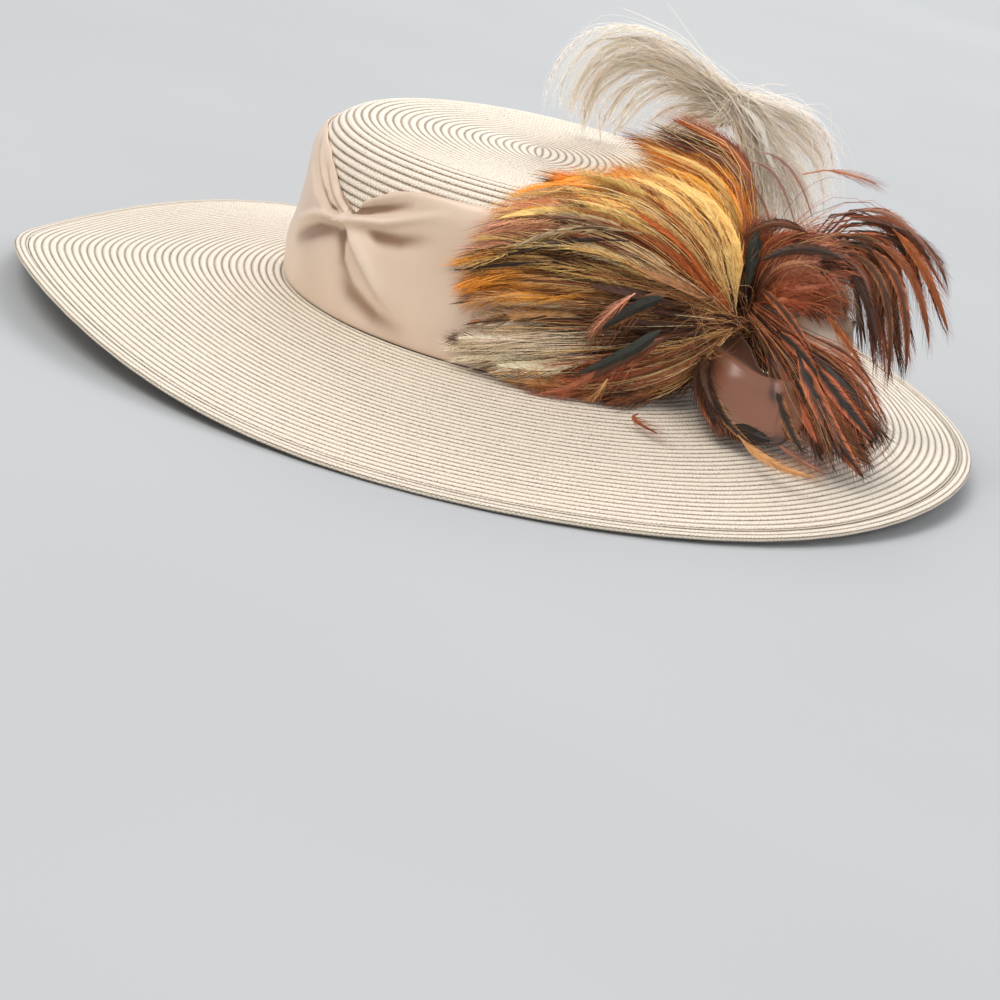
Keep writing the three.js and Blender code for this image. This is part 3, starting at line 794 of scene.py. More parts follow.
def columns(values, places):
    """A path's samples read at any share of its length, straight on past its ends."""
    samples_at = np.linspace(0, 1, len(values))
    read = np.stack([np.interp(places, samples_at, values[:, axis]) for axis in range(3)], axis=-1)
    over = np.maximum(places - 1, 0)[..., None]
    return read + over * (values[-1] - values[-2]) * (len(values) - 1)


def profile(share):
    """How wide a vane is along its length, as a share of its widest."""
    widening, base_curve, tip_curve = 0.2, 0.7, 0.75
    share = np.clip(share, 0, 1)
    return np.minimum(share / widening, 1) ** base_curve * (1 - share ** 3) ** tip_curve


def feather(tuft, path, face, width, dye, dark="umber", spots=0.0, heart=0.0, tips=0.0, stem=0.12,
            barbs=24, solid=0.5, cup=0.2, sweep=1.6, twist=0.0):
    """One feather along a path, its face turned to a given direction.

    The share that is solid is one closed blade. Past it the vane is loose barbs, swept towards the tip.
    """
    random = tuft.random
    width = width * MM / 2
    tangent = unit(np.gradient(path, axis=0))
    side = unit(np.cross(tangent, np.broadcast_to(face, path.shape)))
    front = np.cross(side, tangent)
    turn = np.radians(twist) * np.linspace(-0.5, 1, len(path))[:, None]
    side, front = side * np.cos(turn) + front * np.sin(turn), front * np.cos(turn) - side * np.sin(turn)
    length = np.linalg.norm(np.diff(path, axis=0), axis=1).sum()
    shade = random.uniform(0.86, 1.1)
    dye = np.array(DYES[dye]) * shade * random.uniform(0.95, 1.05, 3)
    dark = np.array(DYES[dark])
    pattern = (spots, heart, tips)

    # The blade: four-sided rings along the quill, thin at their edges
    quill, ridge, keel, narrowest = 0.35 * MM, 0.35 * MM, 0.15 * MM, 0.3 * MM
    blade_start, blade_end, blade_rings = 0.04, 0.93, 9
    spans = np.linspace(blade_start, blade_end, blade_rings)
    spans = np.concatenate([[0, stem * 0.9], stem + (1 - stem) * spans])
    reach = np.maximum(profile((spans - stem) / (1 - stem)) * width * solid, narrowest)
    reach[:2] = quill
    reach = reach[:, None]
    centre, aside, up = columns(path, spans), columns(side, spans), columns(front, spans)
    rings = np.stack([centre - aside * reach - up * reach * cup, centre + up * ridge,
                      centre + aside * reach - up * reach * cup, centre - up * keel], axis=1)
    across = np.tile([0.5 - 0.5 * solid, 0.5, 0.5 + 0.5 * solid, 0.5], len(spans))
    # The first two rings are bare quill
    across[:8] = 0.5
    tuft.tubes(rings[None], path[-1:], np.append(np.repeat(spans, 4), 1.0), np.append(across, 0.5),
               dye, dark, pattern)

    # The barbs: three-sided slivers that start on the quill and end past the blade
    uneven, past_blade, least_sweep, last_start = 0.25, 0.4 * MM, 2.5 * MM, 0.985
    base_thickness, thinning, depth = 0.27, 0.10, 0.2 * MM
    halfway, halfway_out = 0.5, 0.57
    count = 2 * barbs
    hand = np.repeat([-1.0, 1.0], barbs)[:, None]
    share = np.tile(np.linspace(0.01, 0.98, barbs), 2) + random.uniform(-0.4, 0.4, count) / barbs
    start = stem + (1 - stem) * np.clip(share, 0, last_start)
    out = (profile(share) * width * (1 + random.uniform(-uneven, uneven, count)) + past_blade)[:, None]
    ahead = (sweep * out[:, 0] + least_sweep * random.uniform(0.6, 1.3, count)) / length
    lift = random.normal(0, 0.25, count)[:, None]
    sections = []
    for part in (0.0, halfway):
        at = start + ahead * part
        centre, aside, up = columns(path, at), columns(side, at), columns(front, at)
        centre = centre + hand * aside * out * part ** 0.8 + up * out * (lift - cup) * part
        thick = columns(tangent, at) * (base_thickness - thinning * part) * MM
        sections.append(np.stack([centre - thick, centre + thick, centre + up * depth], axis=1))
    at = start + ahead
    points = columns(path, at) + hand * columns(side, at) * out + columns(front, at) * out * (lift - cup)
    along = np.stack([start] * 3 + [start + ahead * halfway] * 3 + [start + ahead], axis=1)
    ratio = np.clip(out[:, 0] / width, 0, 1.2)
    across = 0.5 + 0.5 * hand * ratio[:, None] * np.array([0] * 3 + [halfway_out] * 3 + [1.0])
    tuft.tubes(np.stack(sections, axis=1), points, along, across, dye, dark, pattern)


def strands(tuft, paths, thickness, dye):
    """Bare strands along whole arrays of paths (strand, sample, 3), thinner towards their tips."""
    no_marks = (0, 0, 0)
    # Corners of a three-sided strand, as shares of its radius
    back, rise = 0.5, 0.87
    count, samples, _ = paths.shape
    tangent = unit(np.gradient(paths, axis=1))
    side = unit(np.cross(tangent, (0.3, 0.9, 0.25)))
    front = np.cross(side, tangent)
    radius = thickness * MM / 2 * np.linspace(1, 0.45, samples)[None, :, None]
    rings = np.stack([paths + side * radius, paths - side * radius * back + front * radius * rise,
                      paths - side * radius * back - front * radius * rise], axis=2)[:, :-1]
    along = np.append(np.repeat(np.linspace(0, 1, samples)[:-1], 3), 1.0)
    tint = np.array(DYES[dye]) * tuft.random.uniform(0.8, 1.15, (count, 1, 1))
    tuft.tubes(rings, paths[:, -1], along, 0.5, tint, np.array(DYES["umber"]), no_marks)


def bunches(tuft, paths, *groups):
    """Strands shared out among dyes: each group takes the next few paths, at its own thickness."""
    paths = np.array(paths)
    first = 0
    for count, thickness, dye in groups:
        strands(tuft, paths[first:first + count], thickness, dye)
        first += count


# Single feathers: three places on the path, then what the feather function is told of each
SINGLE = "root middle tip width dye dark spots heart tips stem barbs solid sweep"


def singles(tuft, rows, on_crown=False):
    """Feathers the eye picks out one by one; those on the crown are given in its own coordinates."""
    for row in rows:
        looks = {key: value for key, value in row.items() if key not in ("root", "middle", "tip")}
        path = bend(row["root"], row["middle"], row["tip"])
        if on_crown:
            face = crown_point(path[:, 0], path[:, 1], path[:, 2] + 1) - crown_point(*path.T)
            feather(tuft, crown_point(*path.T), face, **looks)
        else:
            feather(tuft, from_base(path), FORWARDS, **looks)


def between(rows, key, share):
    """One column of guide rows, read at a continuous row number."""
    return np.interp(share, range(len(rows)), [row[key] for row in rows])


def guide_at(guides, number):
    """The places of a guide, or of a line between it and the next where the number is no whole one."""
    low = min(int(number), len(guides) - 1)
    high = min(low + 1, len(guides) - 1)
    share = number - low
    return (1 - share) * np.array(guides[low], float) + share * np.array(guides[high], float)


def wander(random, guides, number, loose, samples=25, end=1.0):
    """A line close to a guide, looser towards its tip."""
    points = guide_at(guides, number)
    sway = np.cumsum(random.normal(0, loose, points.shape), axis=0) / math.sqrt(len(points))
    line = flow(points + sway * np.linspace(0.25, 1, len(points))[:, None], 41)
    return from_base(columns(line, np.linspace(0, end, samples)))


# Golden spray: rows of feathers from the knot round the front of the crown

# Angle round the crown, climb up it and lift off it, halfway along each row of feathers and at its tip.
# All rows start at the root
GOLDEN_ROWS = table("mid_around mid_climb mid_lift tip_around tip_climb tip_lift", [
    (-40, 82, 8, -63, 86, 6),
    (-61, 73, 8, -91, 70, 5),
    (-62, 64, 8, -96, 60, 4.5),
    (-70, 57, 8, -102, 47, 4.5),
    (-72, 49, 9, -103, 36, 4.5),
    (-73, 41, 9, -101, 28, 4.5),
    (-72, 33, 9, -98, 20, 4.5),
    (-70, 25, 9, -98, 12, 4.5),
    (-69, 18, 8, -97, 6, 5),
    (-64, 9, 9, -88, 3, 6),
    (-57, 6, 11, -76, 3, 8),
    (-48, 6, 12, -62, 3, 11),
])
GOLDEN_ROOT = (-27.0, 29.0, 9.0)

# Each row's feathers: near its tip, halfway, and near the knot
GOLDEN_DYES = [
    ("amber", "gold", "gold"),
    ("amber", "yellow", "gold"),
    ("yellow", "yellow", "orange"),
    ("pink", "straw", "orange"),
    ("gold", "gold", "brown"),
    ("amber", "tan", "umber"),
    ("tan", "brown", "umber"),
    ("cream", "umber", "umber"),
    ("cream", "umber", "brown"),
    ("tan", "rust", "tan"),
    ("brown", "rust", "brown"),
    ("umber", "brown", "umber"),
]
GOLDEN_SPOTS = [0.1, 0.2, 0.5, 0.9, 0.9, 0.9, 0.9, 0.3, 0.5, 0.9, 0.9, 0.8]

# Layers from the band outwards: how far along its row each one's tips reach, and its feathers
GOLDEN_LAYERS = table("reach count", [
    (1.0, 48),
    (0.87, 48),
    (0.74, 42),
    (0.60, 34),
    (0.46, 26),
])

# Fine hairs over the spray: the rows that they follow, and how far along a row they start
GOLDEN_HAIRS = table("count rows starts", [
    (300, (0.5, 11), (0.02, 0.35)),
    (70, (2.8, 5.0), (0.35, 0.6)),
    (60, (6.8, 8.4), (0.35, 0.6)),
])


def golden_path(row, root_share, tip_share, rise, samples=25):
    """Part of a row's line raised off the straw by a further amount, and the same line 1 mm above."""
    keys = ("around", "climb", "lift")
    middle = [between(GOLDEN_ROWS, "mid_" + key, row) for key in keys]
    tip = [between(GOLDEN_ROWS, "tip_" + key, row) for key in keys]
    line = columns(bend(GOLDEN_ROOT, middle, tip, 41), np.linspace(root_share, tip_share, samples))
    around, climb, lift = line.T
    return crown_point(around, climb, lift + rise), crown_point(around, climb, lift + rise + 1)


def make_golden():
    """Layers of feathers that lie round the crown, their tips to the front."""
    tuft = Tuft("golden_feathers", seed=11)
    random = tuft.random
    last_row = len(GOLDEN_ROWS) - 1
    layer_rise, sunk = 0.9, 1.6
    tip_zone, middle_zone = 0.80, 0.58
    for level, layer in enumerate(GOLDEN_LAYERS):
        for number in range(layer["count"]):
            row = (number + random.uniform(0.1, 0.9)) * last_row / layer["count"]
            tip_share = layer["reach"] + random.uniform(-0.07, 0.05 if level else 0.02)
            length = random.uniform(0.40, 0.52)
            rise = level * layer_rise - sunk + random.uniform(-0.8, 0.8)
            path, above = golden_path(row, max(tip_share - length, 0.04), tip_share, rise)
            path = path + np.linspace(0, 1, len(path))[:, None] * random.normal(0, 1.6, 3) * MM
            place = min(max(int(round(row + random.normal(0, 0.35))), 0), last_row)
            zone = 0 if tip_share > tip_zone else 1 if tip_share > middle_zone else 2
            face = unit(above - path) + random.normal(0, 0.12, 3)
            feather(tuft, path, face, random.uniform(9, 13), GOLDEN_DYES[place][zone],
                    ("umber", "brown")[random.integers(2)],
                    spots=GOLDEN_SPOTS[place] * random.uniform(0.3, 1.0), tips=0.9 * (random.random() < 0.15),
                    heart=0.7 * (random.random() < 0.15), stem=0.04, barbs=25, solid=0.42, sweep=3.0)
    hair, samples = [], 7
    for hairs in GOLDEN_HAIRS:
        for _ in range(hairs["count"]):
            row = random.uniform(*hairs["rows"])
            start = random.uniform(*hairs["starts"])
            end = start + random.uniform(0.3, 0.6)
            path, _ = golden_path(row, start, min(end, 1.0), random.uniform(0.5, 3.6), samples)
            hair.append(path + np.linspace(0, 1, samples)[:, None] * random.normal(0, 2.2, 3) * MM)
    bunches(tuft, hair, (90, 0.36, "brown"), (80, 0.36, "straw"), (40, 0.36, "umber"), (50, 0.36, "gold"),
            (40, 0.36, "rust"), (70, 0.36, "umber"), (60, 0.36, "cream"))
    singles(tuft, GOLDEN_SINGLES, on_crown=True)
    tuft.build(VANES, "golden_feather", "golden_spray")


GOLDEN_SINGLES = table(SINGLE, [
    ((-55, 44, 15), (-63, 35, 14.5), (-71, 22, 12.5), 15, "brown", "umber", 0.6, 0.5, 0, 0.02, 30, 0.4, 2.0),
    ((-53, 27, 15), (-64, 14, 14.5), (-74, 1, 11.5), 15, "rust", "umber", 0.6, 0.9, 0, 0.02, 30, 0.4, 2.0),
    ((-57, 42, 17), (-63, 37, 17), (-69, 27, 15), 6.5, "green", "black", 0, 0.3, 0, 0.0, 14, 0.8, 1.4),
    ((-56, 30, 17.5), (-63, 20, 17.5), (-72, 9, 14.5), 6.5, "green", "black", 0, 0.3, 0, 0.0, 14, 0.8, 1.4),
    ((-64, 43, 18), (-68, 36, 18.5), (-71, 26, 16.5), 5, "pink", "rust", 0.3, 0, 0, 0.0, 20, 0.25, 2.4),
    ((-68, 11, 14.5), (-72, 4, 14), (-79, -1, 12.5), 11, "rust", "umber", 0.5, 0.4, 0, 0.0, 26, 0.3, 2.2),
    ((-65, 9, 15), (-66, 5, 15.5), (-67, -1, 14), 5, "tan", "brown", 0, 0, 0, 0.0, 16, 0.25, 2.2),
    ((-63, 58, 13), (-81, 56, 12), (-92, 47, 9), 6, "straw", "umber", 1.0, 0.6, 0, 0.05, 26, 0.3, 2.4),
    ((-66, 56, 13), (-84, 52, 12), (-96, 41, 8), 5, "umber", "black", 1.0, 0.6, 0, 0.05, 26, 0.3, 2.4),
    ((-80, 49, 11), (-91, 43, 9), (-103, 35, 6), 8, "gold", "black", 0.4, 1.0, 0, 0.05, 24, 0.3, 2.4),
    ((-66, 30, 12), (-86, 24, 10), (-97, 17, 7.5), 2, "umber", "black", 0, 0, 0, 0.0, 12, 0.4, 2.4),
    ((-84, 17, 10), (-93, 14, 9), (-100, 10, 7), 7, "cream", "umber", 0.5, 0.3, 1.0, 0.05, 22, 0.3, 2.4),
])


# Free sprays: feathers between guides, each a row of places from root to tip, from the crown's base

# From the back of the crown's side to its front
UPPER = [
    [(88, -30, 34), (85, -24, 62), (74, -20, 85), (47, -18, 92)],
    [(88, -34, 34), (84, -32, 60), (69, -28, 81), (31, -20, 84)],
    [(88, -36, 34), (82, -38, 58), (66, -38, 75), (38, -34, 79)],
    [(87, -38, 34), (79, -44, 56), (62, -45, 71), (32, -42, 76)],
    [(86, -40, 34), (76, -50, 52), (58, -50, 65), (24, -49, 70)],
]
# The two dyes that feathers near each guide are drawn from
UPPER_DYES = [
    ("mauve", "rust"),
    ("orange", "amber"),
    ("amber", "gold"),
    ("gold", "amber"),
    ("straw", "cream"),
]


def make_upper():
    """Feathers that reach up and over the crown."""
    tuft = Tuft("upper_feathers", seed=12)
    random = tuft.random
    feathers, hairs, last_row = 84, 200, len(UPPER) - 1
    for _ in range(feathers):
        row = random.uniform(0, last_row)
        path = wander(random, UPPER, row, 3.0, end=random.uniform(0.8, 1.0))
        place = int(round(row))
        feather(tuft, path, FORWARDS + random.normal(0, 0.25, 3), random.uniform(7, 11),
                UPPER_DYES[place][random.integers(2)], "umber", spots=random.uniform(0, 0.5),
                heart=0.3 * (random.random() < 0.3), tips=float(place < 2 and random.random() < 0.4),
                stem=random.uniform(0.2, 0.5), barbs=26, solid=0.4, sweep=3.2)
    paths = [wander(random, UPPER, random.uniform(0, last_row), 5.0, 8) for _ in range(hairs)]
    bunches(tuft, paths, (50, 0.36, "rust"), (60, 0.36, "gold"), (50, 0.36, "straw"), (40, 0.36, "umber"))
    tuft.build(VANES, "orange_feather", "upper_spray")


# Plume: fine herl that rises in a sheaf, then arches over and droops on both sides

# How it rises, how it arches over the crown and falls to the side, and single stray lines
SHEAF = [
    [(88, -16, 50), (80, -2, 80), (70, 10, 103)],
    [(94, -15, 52), (86, 0, 80), (71, 10, 103)],
    [(103, -12, 54), (92, 2, 80), (72, 10, 102)],
    [(112, -8, 58), (100, 4, 82), (74, 10, 100)],
]
ARCHES = [
    [(48, 12, 116), (28, 16, 120), (11, 22, 114), (1, 32, 95), (2, 44, 77)],
    [(48, 12, 113), (30, 16, 116), (15, 24, 109), (6, 34, 91), (6, 48, 72)],
    [(50, 14, 108), (35, 18, 111), (20, 26, 104), (12, 36, 87), (12, 50, 71)],
    [(51, 16, 105), (36, 20, 107), (24, 28, 99), (17, 38, 85), (17, 51, 70)],
    [(56, 16, 102), (43, 20, 103), (33, 28, 94), (27, 38, 81), (25, 50, 70)],
    [(62, 14, 99), (53, 18, 97), (44, 25, 89), (36, 33, 79), (28, 42, 71)],
    [(65, 10, 97), (58, 16, 94), (51, 20, 87), (43, 26, 79), (37, 31, 73)],
    [(68, 6, 92), (63, 10, 88), (57, 16, 82), (50, 20, 77), (44, 24, 73)],
]
FALLS = [
    [(84, 8, 105), (96, 4, 104), (104, 0, 98), (110, -2, 88)],
    [(87, 8, 101), (103, 4, 96), (112, 0, 86), (117, -2, 72)],
    [(85, 6, 97), (99, 3, 91), (111, 0, 78), (117, -4, 62)],
    [(83, 4, 95), (94, 2, 86), (106, -2, 73), (111, -6, 58)],
    [(80, 4, 93), (88, 0, 82), (97, -4, 70), (102, -10, 56)],
]
STRAYS = [
    [(70, 10, 104), (52, 14, 119), (34, 18, 134)],
    [(70, 10, 103), (48, 14, 120), (30, 18, 125), (17, 20, 127)],
    [(71, 10, 105), (80, 8, 112), (89, 6, 114)],
    [(72, 10, 101), (90, 4, 102), (108, 0, 100), (118, -2, 92)],
]


def herl(random, ends, count, loose, samples, sheaf_from):
    """Fine lines up the sheaf, from somewhere along it, and out along an arch."""
    made = []
    for _ in range(count):
        low = random.uniform(0, len(SHEAF) - 1)
        row = random.uniform(0, len(ends) - 1)
        points = np.concatenate([guide_at(SHEAF, low), guide_at(ends, row)])
        sway = random.normal(0, loose, (1, 3)) * np.linspace(0.2, 1, len(points))[:, None]
        sway = sway + random.normal(0, loose * 0.35, points.shape)
        line = flow(points + sway, 61)
        start = random.uniform(sheaf_from, 0.30)
        end = 1 - 0.5 * random.random() ** 2.2
        made.append(from_base(columns(line, np.linspace(start, end, samples))))
    return np.array(made)


# Bare strands of the plume, over its feathers
PLUME_HERL = table("ends count loose samples sheaf_from thickness dye", [
    (ARCHES, 340, 3.6, 17, 0.0, 0.28, "herl"),
    (ARCHES, 60, 5.0, 17, 0.1, 0.26, "sand"),
    (FALLS, 210, 3.6, 15, 0.0, 0.28, "herl"),
    (FALLS, 60, 5.4, 15, 0.1, 0.26, "sand"),
])


def make_plume():
    """Soft feathers and bare herl round one shaft, with a few strays."""
    tuft = Tuft("plume_herl", seed=13)
    random = tuft.random
    upwards = FORWARDS + (0, 0, 0.7)
    for ends, count in ((ARCHES, 36), (FALLS, 15)):
        for line in herl(random, ends, count, 2.8, 33, 0.0):
            feather(tuft, line, upwards + random.normal(0, 0.2, 3), random.uniform(5, 9), "herl", "tan",
                    stem=random.uniform(0.2, 0.4), barbs=22, solid=0.3, sweep=5.0, cup=0.05)
    for row in PLUME_HERL:
        lines = herl(random, row["ends"], row["count"], row["loose"], row["samples"], row["sheaf_from"])
        strands(tuft, lines, row["thickness"], row["dye"])
    shaft, shaft_thickness, stray_thickness = SHEAF[1], 1.6, 0.6
    strands(tuft, from_base(flow(shaft, 12)[None]), shaft_thickness, "sand")
    for stray in STRAYS:
        strands(tuft, from_base(flow(stray, 12)[None]), stray_thickness, "sand")
    singles(tuft, PLUME_SINGLES)
    tuft.build(HERL, "cream_feather", "plume")


# Rust fan on the right, and the dark hackles in front of the loops

# Guides of the drooping fan, its full centre, its pale fluff, and the hackles in front and to their left
FAN = [
    [(98, -30, 37), (105, -32, 65), (123, -32, 79), (162, -28, 67)],
    [(98, -32, 37), (105, -34, 63), (143, -32, 76), (169, -28, 42)],
    [(98, -32, 37), (107, -36, 62), (141, -36, 69), (163, -34, 33)],
    [(99, -34, 37), (108, -38, 60), (136, -38, 64), (157, -36, 21)],
    [(99, -34, 37), (108, -38, 58), (131, -40, 61), (150, -38, 17)],
    [(99, -34, 37), (107, -38, 56), (125, -40, 58), (139, -40, 25)],
]
CENTRE = [
    [(93, -34, 36), (89, -40, 46), (85, -42, 54), (82, -42, 62)],
    [(93, -36, 36), (94, -44, 53), (101, -46, 64), (115, -44, 68)],
    [(93, -36, 36), (102, -48, 53), (114, -48, 59), (125, -44, 58)],
    [(93, -36, 36), (105, -50, 47), (117, -48, 51), (129, -44, 47)],
    [(93, -36, 35), (104, -50, 42), (115, -50, 43), (126, -46, 39)],
]
FLUFF = [
    [(112, -44, 59), (118, -44, 57), (126, -42, 50), (130, -40, 40)],
    [(110, -46, 56), (116, -46, 51), (121, -44, 45), (125, -42, 36)],
]
HACKLES = [
    [(94, -42, 36), (112, -56, 35), (132, -62, 32), (150, -68, 18)],
    [(94, -44, 36), (113, -58, 30), (136, -72, 23), (150, -84, 8)],
    [(94, -44, 34), (112, -62, 26), (134, -80, 15), (150, -98, 0)],
    [(93, -45, 32), (109, -62, 24), (125, -84, 12), (138, -104, -1)],
    [(93, -45, 31), (105, -62, 22), (116, -82, 11), (126, -104, -1)],
]
HACKLES_LEFT = [
    [(88, -42, 31), (79, -54, 22), (77, -80, 13), (82, -103, 1)],
    [(89, -44, 30), (81, -56, 21), (80, -84, 12), (91, -106, -1)],
    [(89, -44, 30), (83, -56, 21), (84, -88, 10), (103, -110, 0)],
]


def spray(tuft, guides, count, loose, dyes, width, stem, heart, barbs=24, solid=0.42, sweep=2.6, tips=0.2,
          end=(0.85, 1.0), rows=None):
    """Twisted feathers along guides, or along some of their rows only."""
    random = tuft.random
    for _ in range(count):
        row = random.uniform(0, len(guides) - 1) if rows is None else random.uniform(*rows)
        path = wander(random, guides, row, loose, end=random.uniform(*end))
        feather(tuft, path, FORWARDS + random.normal(0, 0.35, 3), random.uniform(*width),
                dyes[random.integers(len(dyes))], ("umber", "black")[random.integers(2)],
                spots=random.uniform(0, 0.3), heart=heart * (random.random() < 0.6),
                tips=float(random.random() < tips), stem=random.uniform(*stem), barbs=barbs, solid=solid,
                sweep=sweep, twist=random.normal(0, 25))


PLUME_SINGLES = table(SINGLE, [
    ((80, -6, 83), (92, -14, 81), (104, -24, 64), 8, "mauve", "umber", 0, 0.7, 0.9, 0.1, 26, 0.2, 3.0),
    ((84, -6, 88), (97, -14, 85), (109, -24, 70), 7, "mauve", "umber", 0, 0.6, 0.9, 0.1, 26, 0.2, 3.0),
    ((78, -8, 76), (88, -16, 72), (95, -26, 60), 7, "brown", "umber", 0, 0.6, 0.5, 0.1, 26, 0.2, 3.0),
])
FAN_SINGLES = table(SINGLE, [
    ((88, -44, 67), (88.3, -50, 55), (89.2, -50, 42), 5.5, "green", "black", 0, 0, 0, 0.0, 12, 0.9, 1.4),
    ((106, -52, 70), (92, -55, 71), (82.5, -52, 61), 6.5, "umber", "rust", 0, 0.2, 0, 0.0, 30, 0.5, 2.4),
    ((121, -54, 63.5), (104, -59, 64.5), (91, -60, 56.5),
     5.5, "umber", "black", 0, 0.8, 0, 0.02, 20, 0.85, 1.6),
    ((101, -14, 84.5), (113, -10, 88), (131, -8, 86.5), 5, "pink", "rust", 0.3, 0, 0.6, 0.4, 26, 0.2, 3.0),
    ((123, -36, 80), (144, -34, 75.5), (162, -30, 66), 5, "mauve", "umber", 0, 0.6, 0.5, 0.35, 22, 0.4, 2.6),
    ((138, -36, 77), (154, -34, 71.5), (166, -30, 56.5),
     5.5, "mauve", "umber", 0, 0.6, 0.3, 0.1, 24, 0.4, 2.6),
    ((138, -40, 76.6), (154, -41, 64), (170, -36, 41),
     8, "orange", "umber", 0, 0.5, 0.3, 0.05, 30, 0.45, 2.6),
    ((132, -41, 70), (150, -41, 60.6), (164, -38, 34), 8, "rust", "umber", 0, 0.5, 0.3, 0.05, 30, 0.45, 2.6),
    ((130, -43, 68), (147, -45, 54.6), (157, -45, 23), 9, "rust", "black", 0, 0.8, 0, 0.05, 30, 0.45, 2.4),
    ((124, -45, 64.5), (141, -48, 53), (151, -48, 18), 8, "brown", "black", 0, 0.8, 0, 0.05, 30, 0.45, 2.4),
    ((124, -46, 60.4), (135, -50, 48.6), (143, -50, 31), 7, "umber", "black", 0, 0.5, 0, 0.05, 24, 0.5, 2.2),
])
HACKLE_SINGLES = table(SINGLE, [
    ((93, -46, 44), (106, -56, 38), (122, -68, 24), 7, "rust", "black", 0, 0.9, 0, 0.05, 26, 0.5, 2.2),
    ((104, -56, 31), (114.5, -67, 27), (125, -78, 19), 10, "rust", "black", 0, 1.0, 0, 0.02, 28, 0.5, 2.0),
    ((103, -62, 21), (112, -91, 8), (121, -107, 0), 10, "brown", "black", 0, 1.0, 0, 0.02, 28, 0.5, 2.0),
    ((112, -70, 28.5), (128.4, -93, 9.6), (145, -108, -4),
     14, "rust", "black", 0, 1.0, 0.3, 0.02, 32, 0.5, 2.0),
    ((120, -70, 25), (133, -89, 17), (147, -100, 8), 12, "rust", "black", 0, 1.0, 0, 0.02, 30, 0.5, 2.0),
    ((120, -60, 42.6), (129, -68, 36.3), (137, -76, 30),
     6, "orange", "umber", 0, 0.7, 0, 0.02, 24, 0.4, 2.4),
    ((116, -76, 20), (133, -92, 9.4), (146, -102, 0), 12, "brown", "umber", 0, 0.9, 0.8, 0.02, 28, 0.6, 2.0),
    ((110, -98, -0.6), (120, -106, -3), (130, -110, -5), 7, "mauve", "rust", 0, 0, 0, 0.0, 24, 0.2, 2.4),
    ((81, -47, 24), (85, -88, 8), (103, -111, -1), 9, "brown", "black", 0, 1.0, 0, 0.1, 26, 0.5, 1.8),
    ((80, -52, 17), (81, -88, 7), (91, -106, -1), 8, "rust", "black", 0, 0.8, 0, 0.1, 24, 0.5, 1.8),
    ((94, -97, 2), (101, -107, 2.5), (108, -110, 2.5), 6, "black", "umber", 0, 0, 0, 0.0, 12, 0.9, 1.4),
    ((95, -104, 1), (108, -122, -2), (126, -128, -2.5), 8, "tan", "brown", 0, 0.3, 0, 0.1, 24, 0.4, 2.4),
    ((58, -111, 1), (57.5, -113, -1), (67, -117, -3), 5, "rust", "umber", 0, 0.5, 0, 0.1, 16, 0.3, 2.4),
])


def make_fan():
    """A full centre, some pale fluff, and hackles that arch out and droop."""
    tuft = Tuft("fan_feathers", seed=14)
    random = tuft.random
    spray(tuft, CENTRE, 70, 3.6, ["rust", "pink", "rust", "mauve", "rust"], width=(11, 16), stem=(0.05, 0.3),
          heart=0.15, barbs=28, solid=0.22, sweep=2.0, end=(0.6, 1.0))
    spray(tuft, FLUFF, 11, 2.2, ["sand", "cream"], width=(7, 11), stem=(0.0, 0.1), heart=0.0, barbs=26,
          solid=0.2)
    spray(tuft, FAN, 15, 4.0, ["rust", "mauve", "rust", "umber"], width=(3.5, 5.5), stem=(0.55, 0.7),
          heart=1.0, rows=(0, 2.2))
    spray(tuft, FAN, 38, 3.8, ["rust", "brown", "mauve", "umber", "rust"], width=(4, 6.5), stem=(0.5, 0.64),
          heart=1.0, rows=(2.2, 5))
    paths = [wander(random, FAN, random.uniform(0, 5), 7.0, 9, end=random.uniform(0.5, 0.95))
             for _ in range(90)]
    bunches(tuft, paths, (60, 0.3, "rust"), (30, 0.3, "umber"))
    paths = [wander(random, CENTRE, random.uniform(0, 2), 6.0, 8) for _ in range(120)]
    bunches(tuft, paths, (80, 0.32, "rust"), (40, 0.32, "tan"))
    singles(tuft, FAN_SINGLES)
    tuft.build(VANES, "rust_feather", "rust_fan")


def make_hackles():
    """Hackles that lie forward over the brim, and a few down its left."""
    tuft = Tuft("hackle_feathers", seed=15)
    random = tuft.random
    spray(tuft, HACKLES, 46, 3.0, ["rust", "brown", "brown", "rust", "umber", "mauve"], width=(6, 11),
          stem=(0.25, 0.5), heart=1.0, rows=(1.3, 4))
    spray(tuft, HACKLES, 7, 2.4, ["rust", "pink", "brown"], width=(3, 5), stem=(0.3, 0.5), heart=0.9,
          rows=(0, 1.2))
    spray(tuft, HACKLES_LEFT, 8, 2.0, ["umber", "brown", "umber"], width=(5, 8), stem=(0.35, 0.6), heart=1.0)
    paths = [wander(random, HACKLES, random.uniform(0.9, 4), 5.0, 9) for _ in range(130)]
    bunches(tuft, paths, (60, 0.3, "rust"), (58, 0.3, "umber"), (12, 0.26, "tan"))
    singles(tuft, HACKLE_SINGLES)
    tuft.build(VANES, "dark_feather", "hackle_spray")


# Knot: bound quill ends as dark curled strands over a solid heart, and fine hairs that stray out of it

KNOT_MIDDLE = from_base((93.5, -34, 27))
HEART_RADIUS = 7.5
HEART_DENTS = 0.35


def knot_curl(random):
    """One curled strand that stands off the knot and turns back."""
    direction = unit(random.normal(0, 1, 3) + (0.3, -0.8, 0.1))
    curl = unit(np.cross(direction, random.normal(0, 1, 3)))
    reach, bow = random.uniform(8, 17) * MM, random.uniform(2, 7) * MM
    start = KNOT_MIDDLE + direction * 3 * MM
    return bend(start, start + direction * reach * 0.55 + curl * bow,
                start + direction * reach * 0.8 - curl * bow * 0.4, 8)


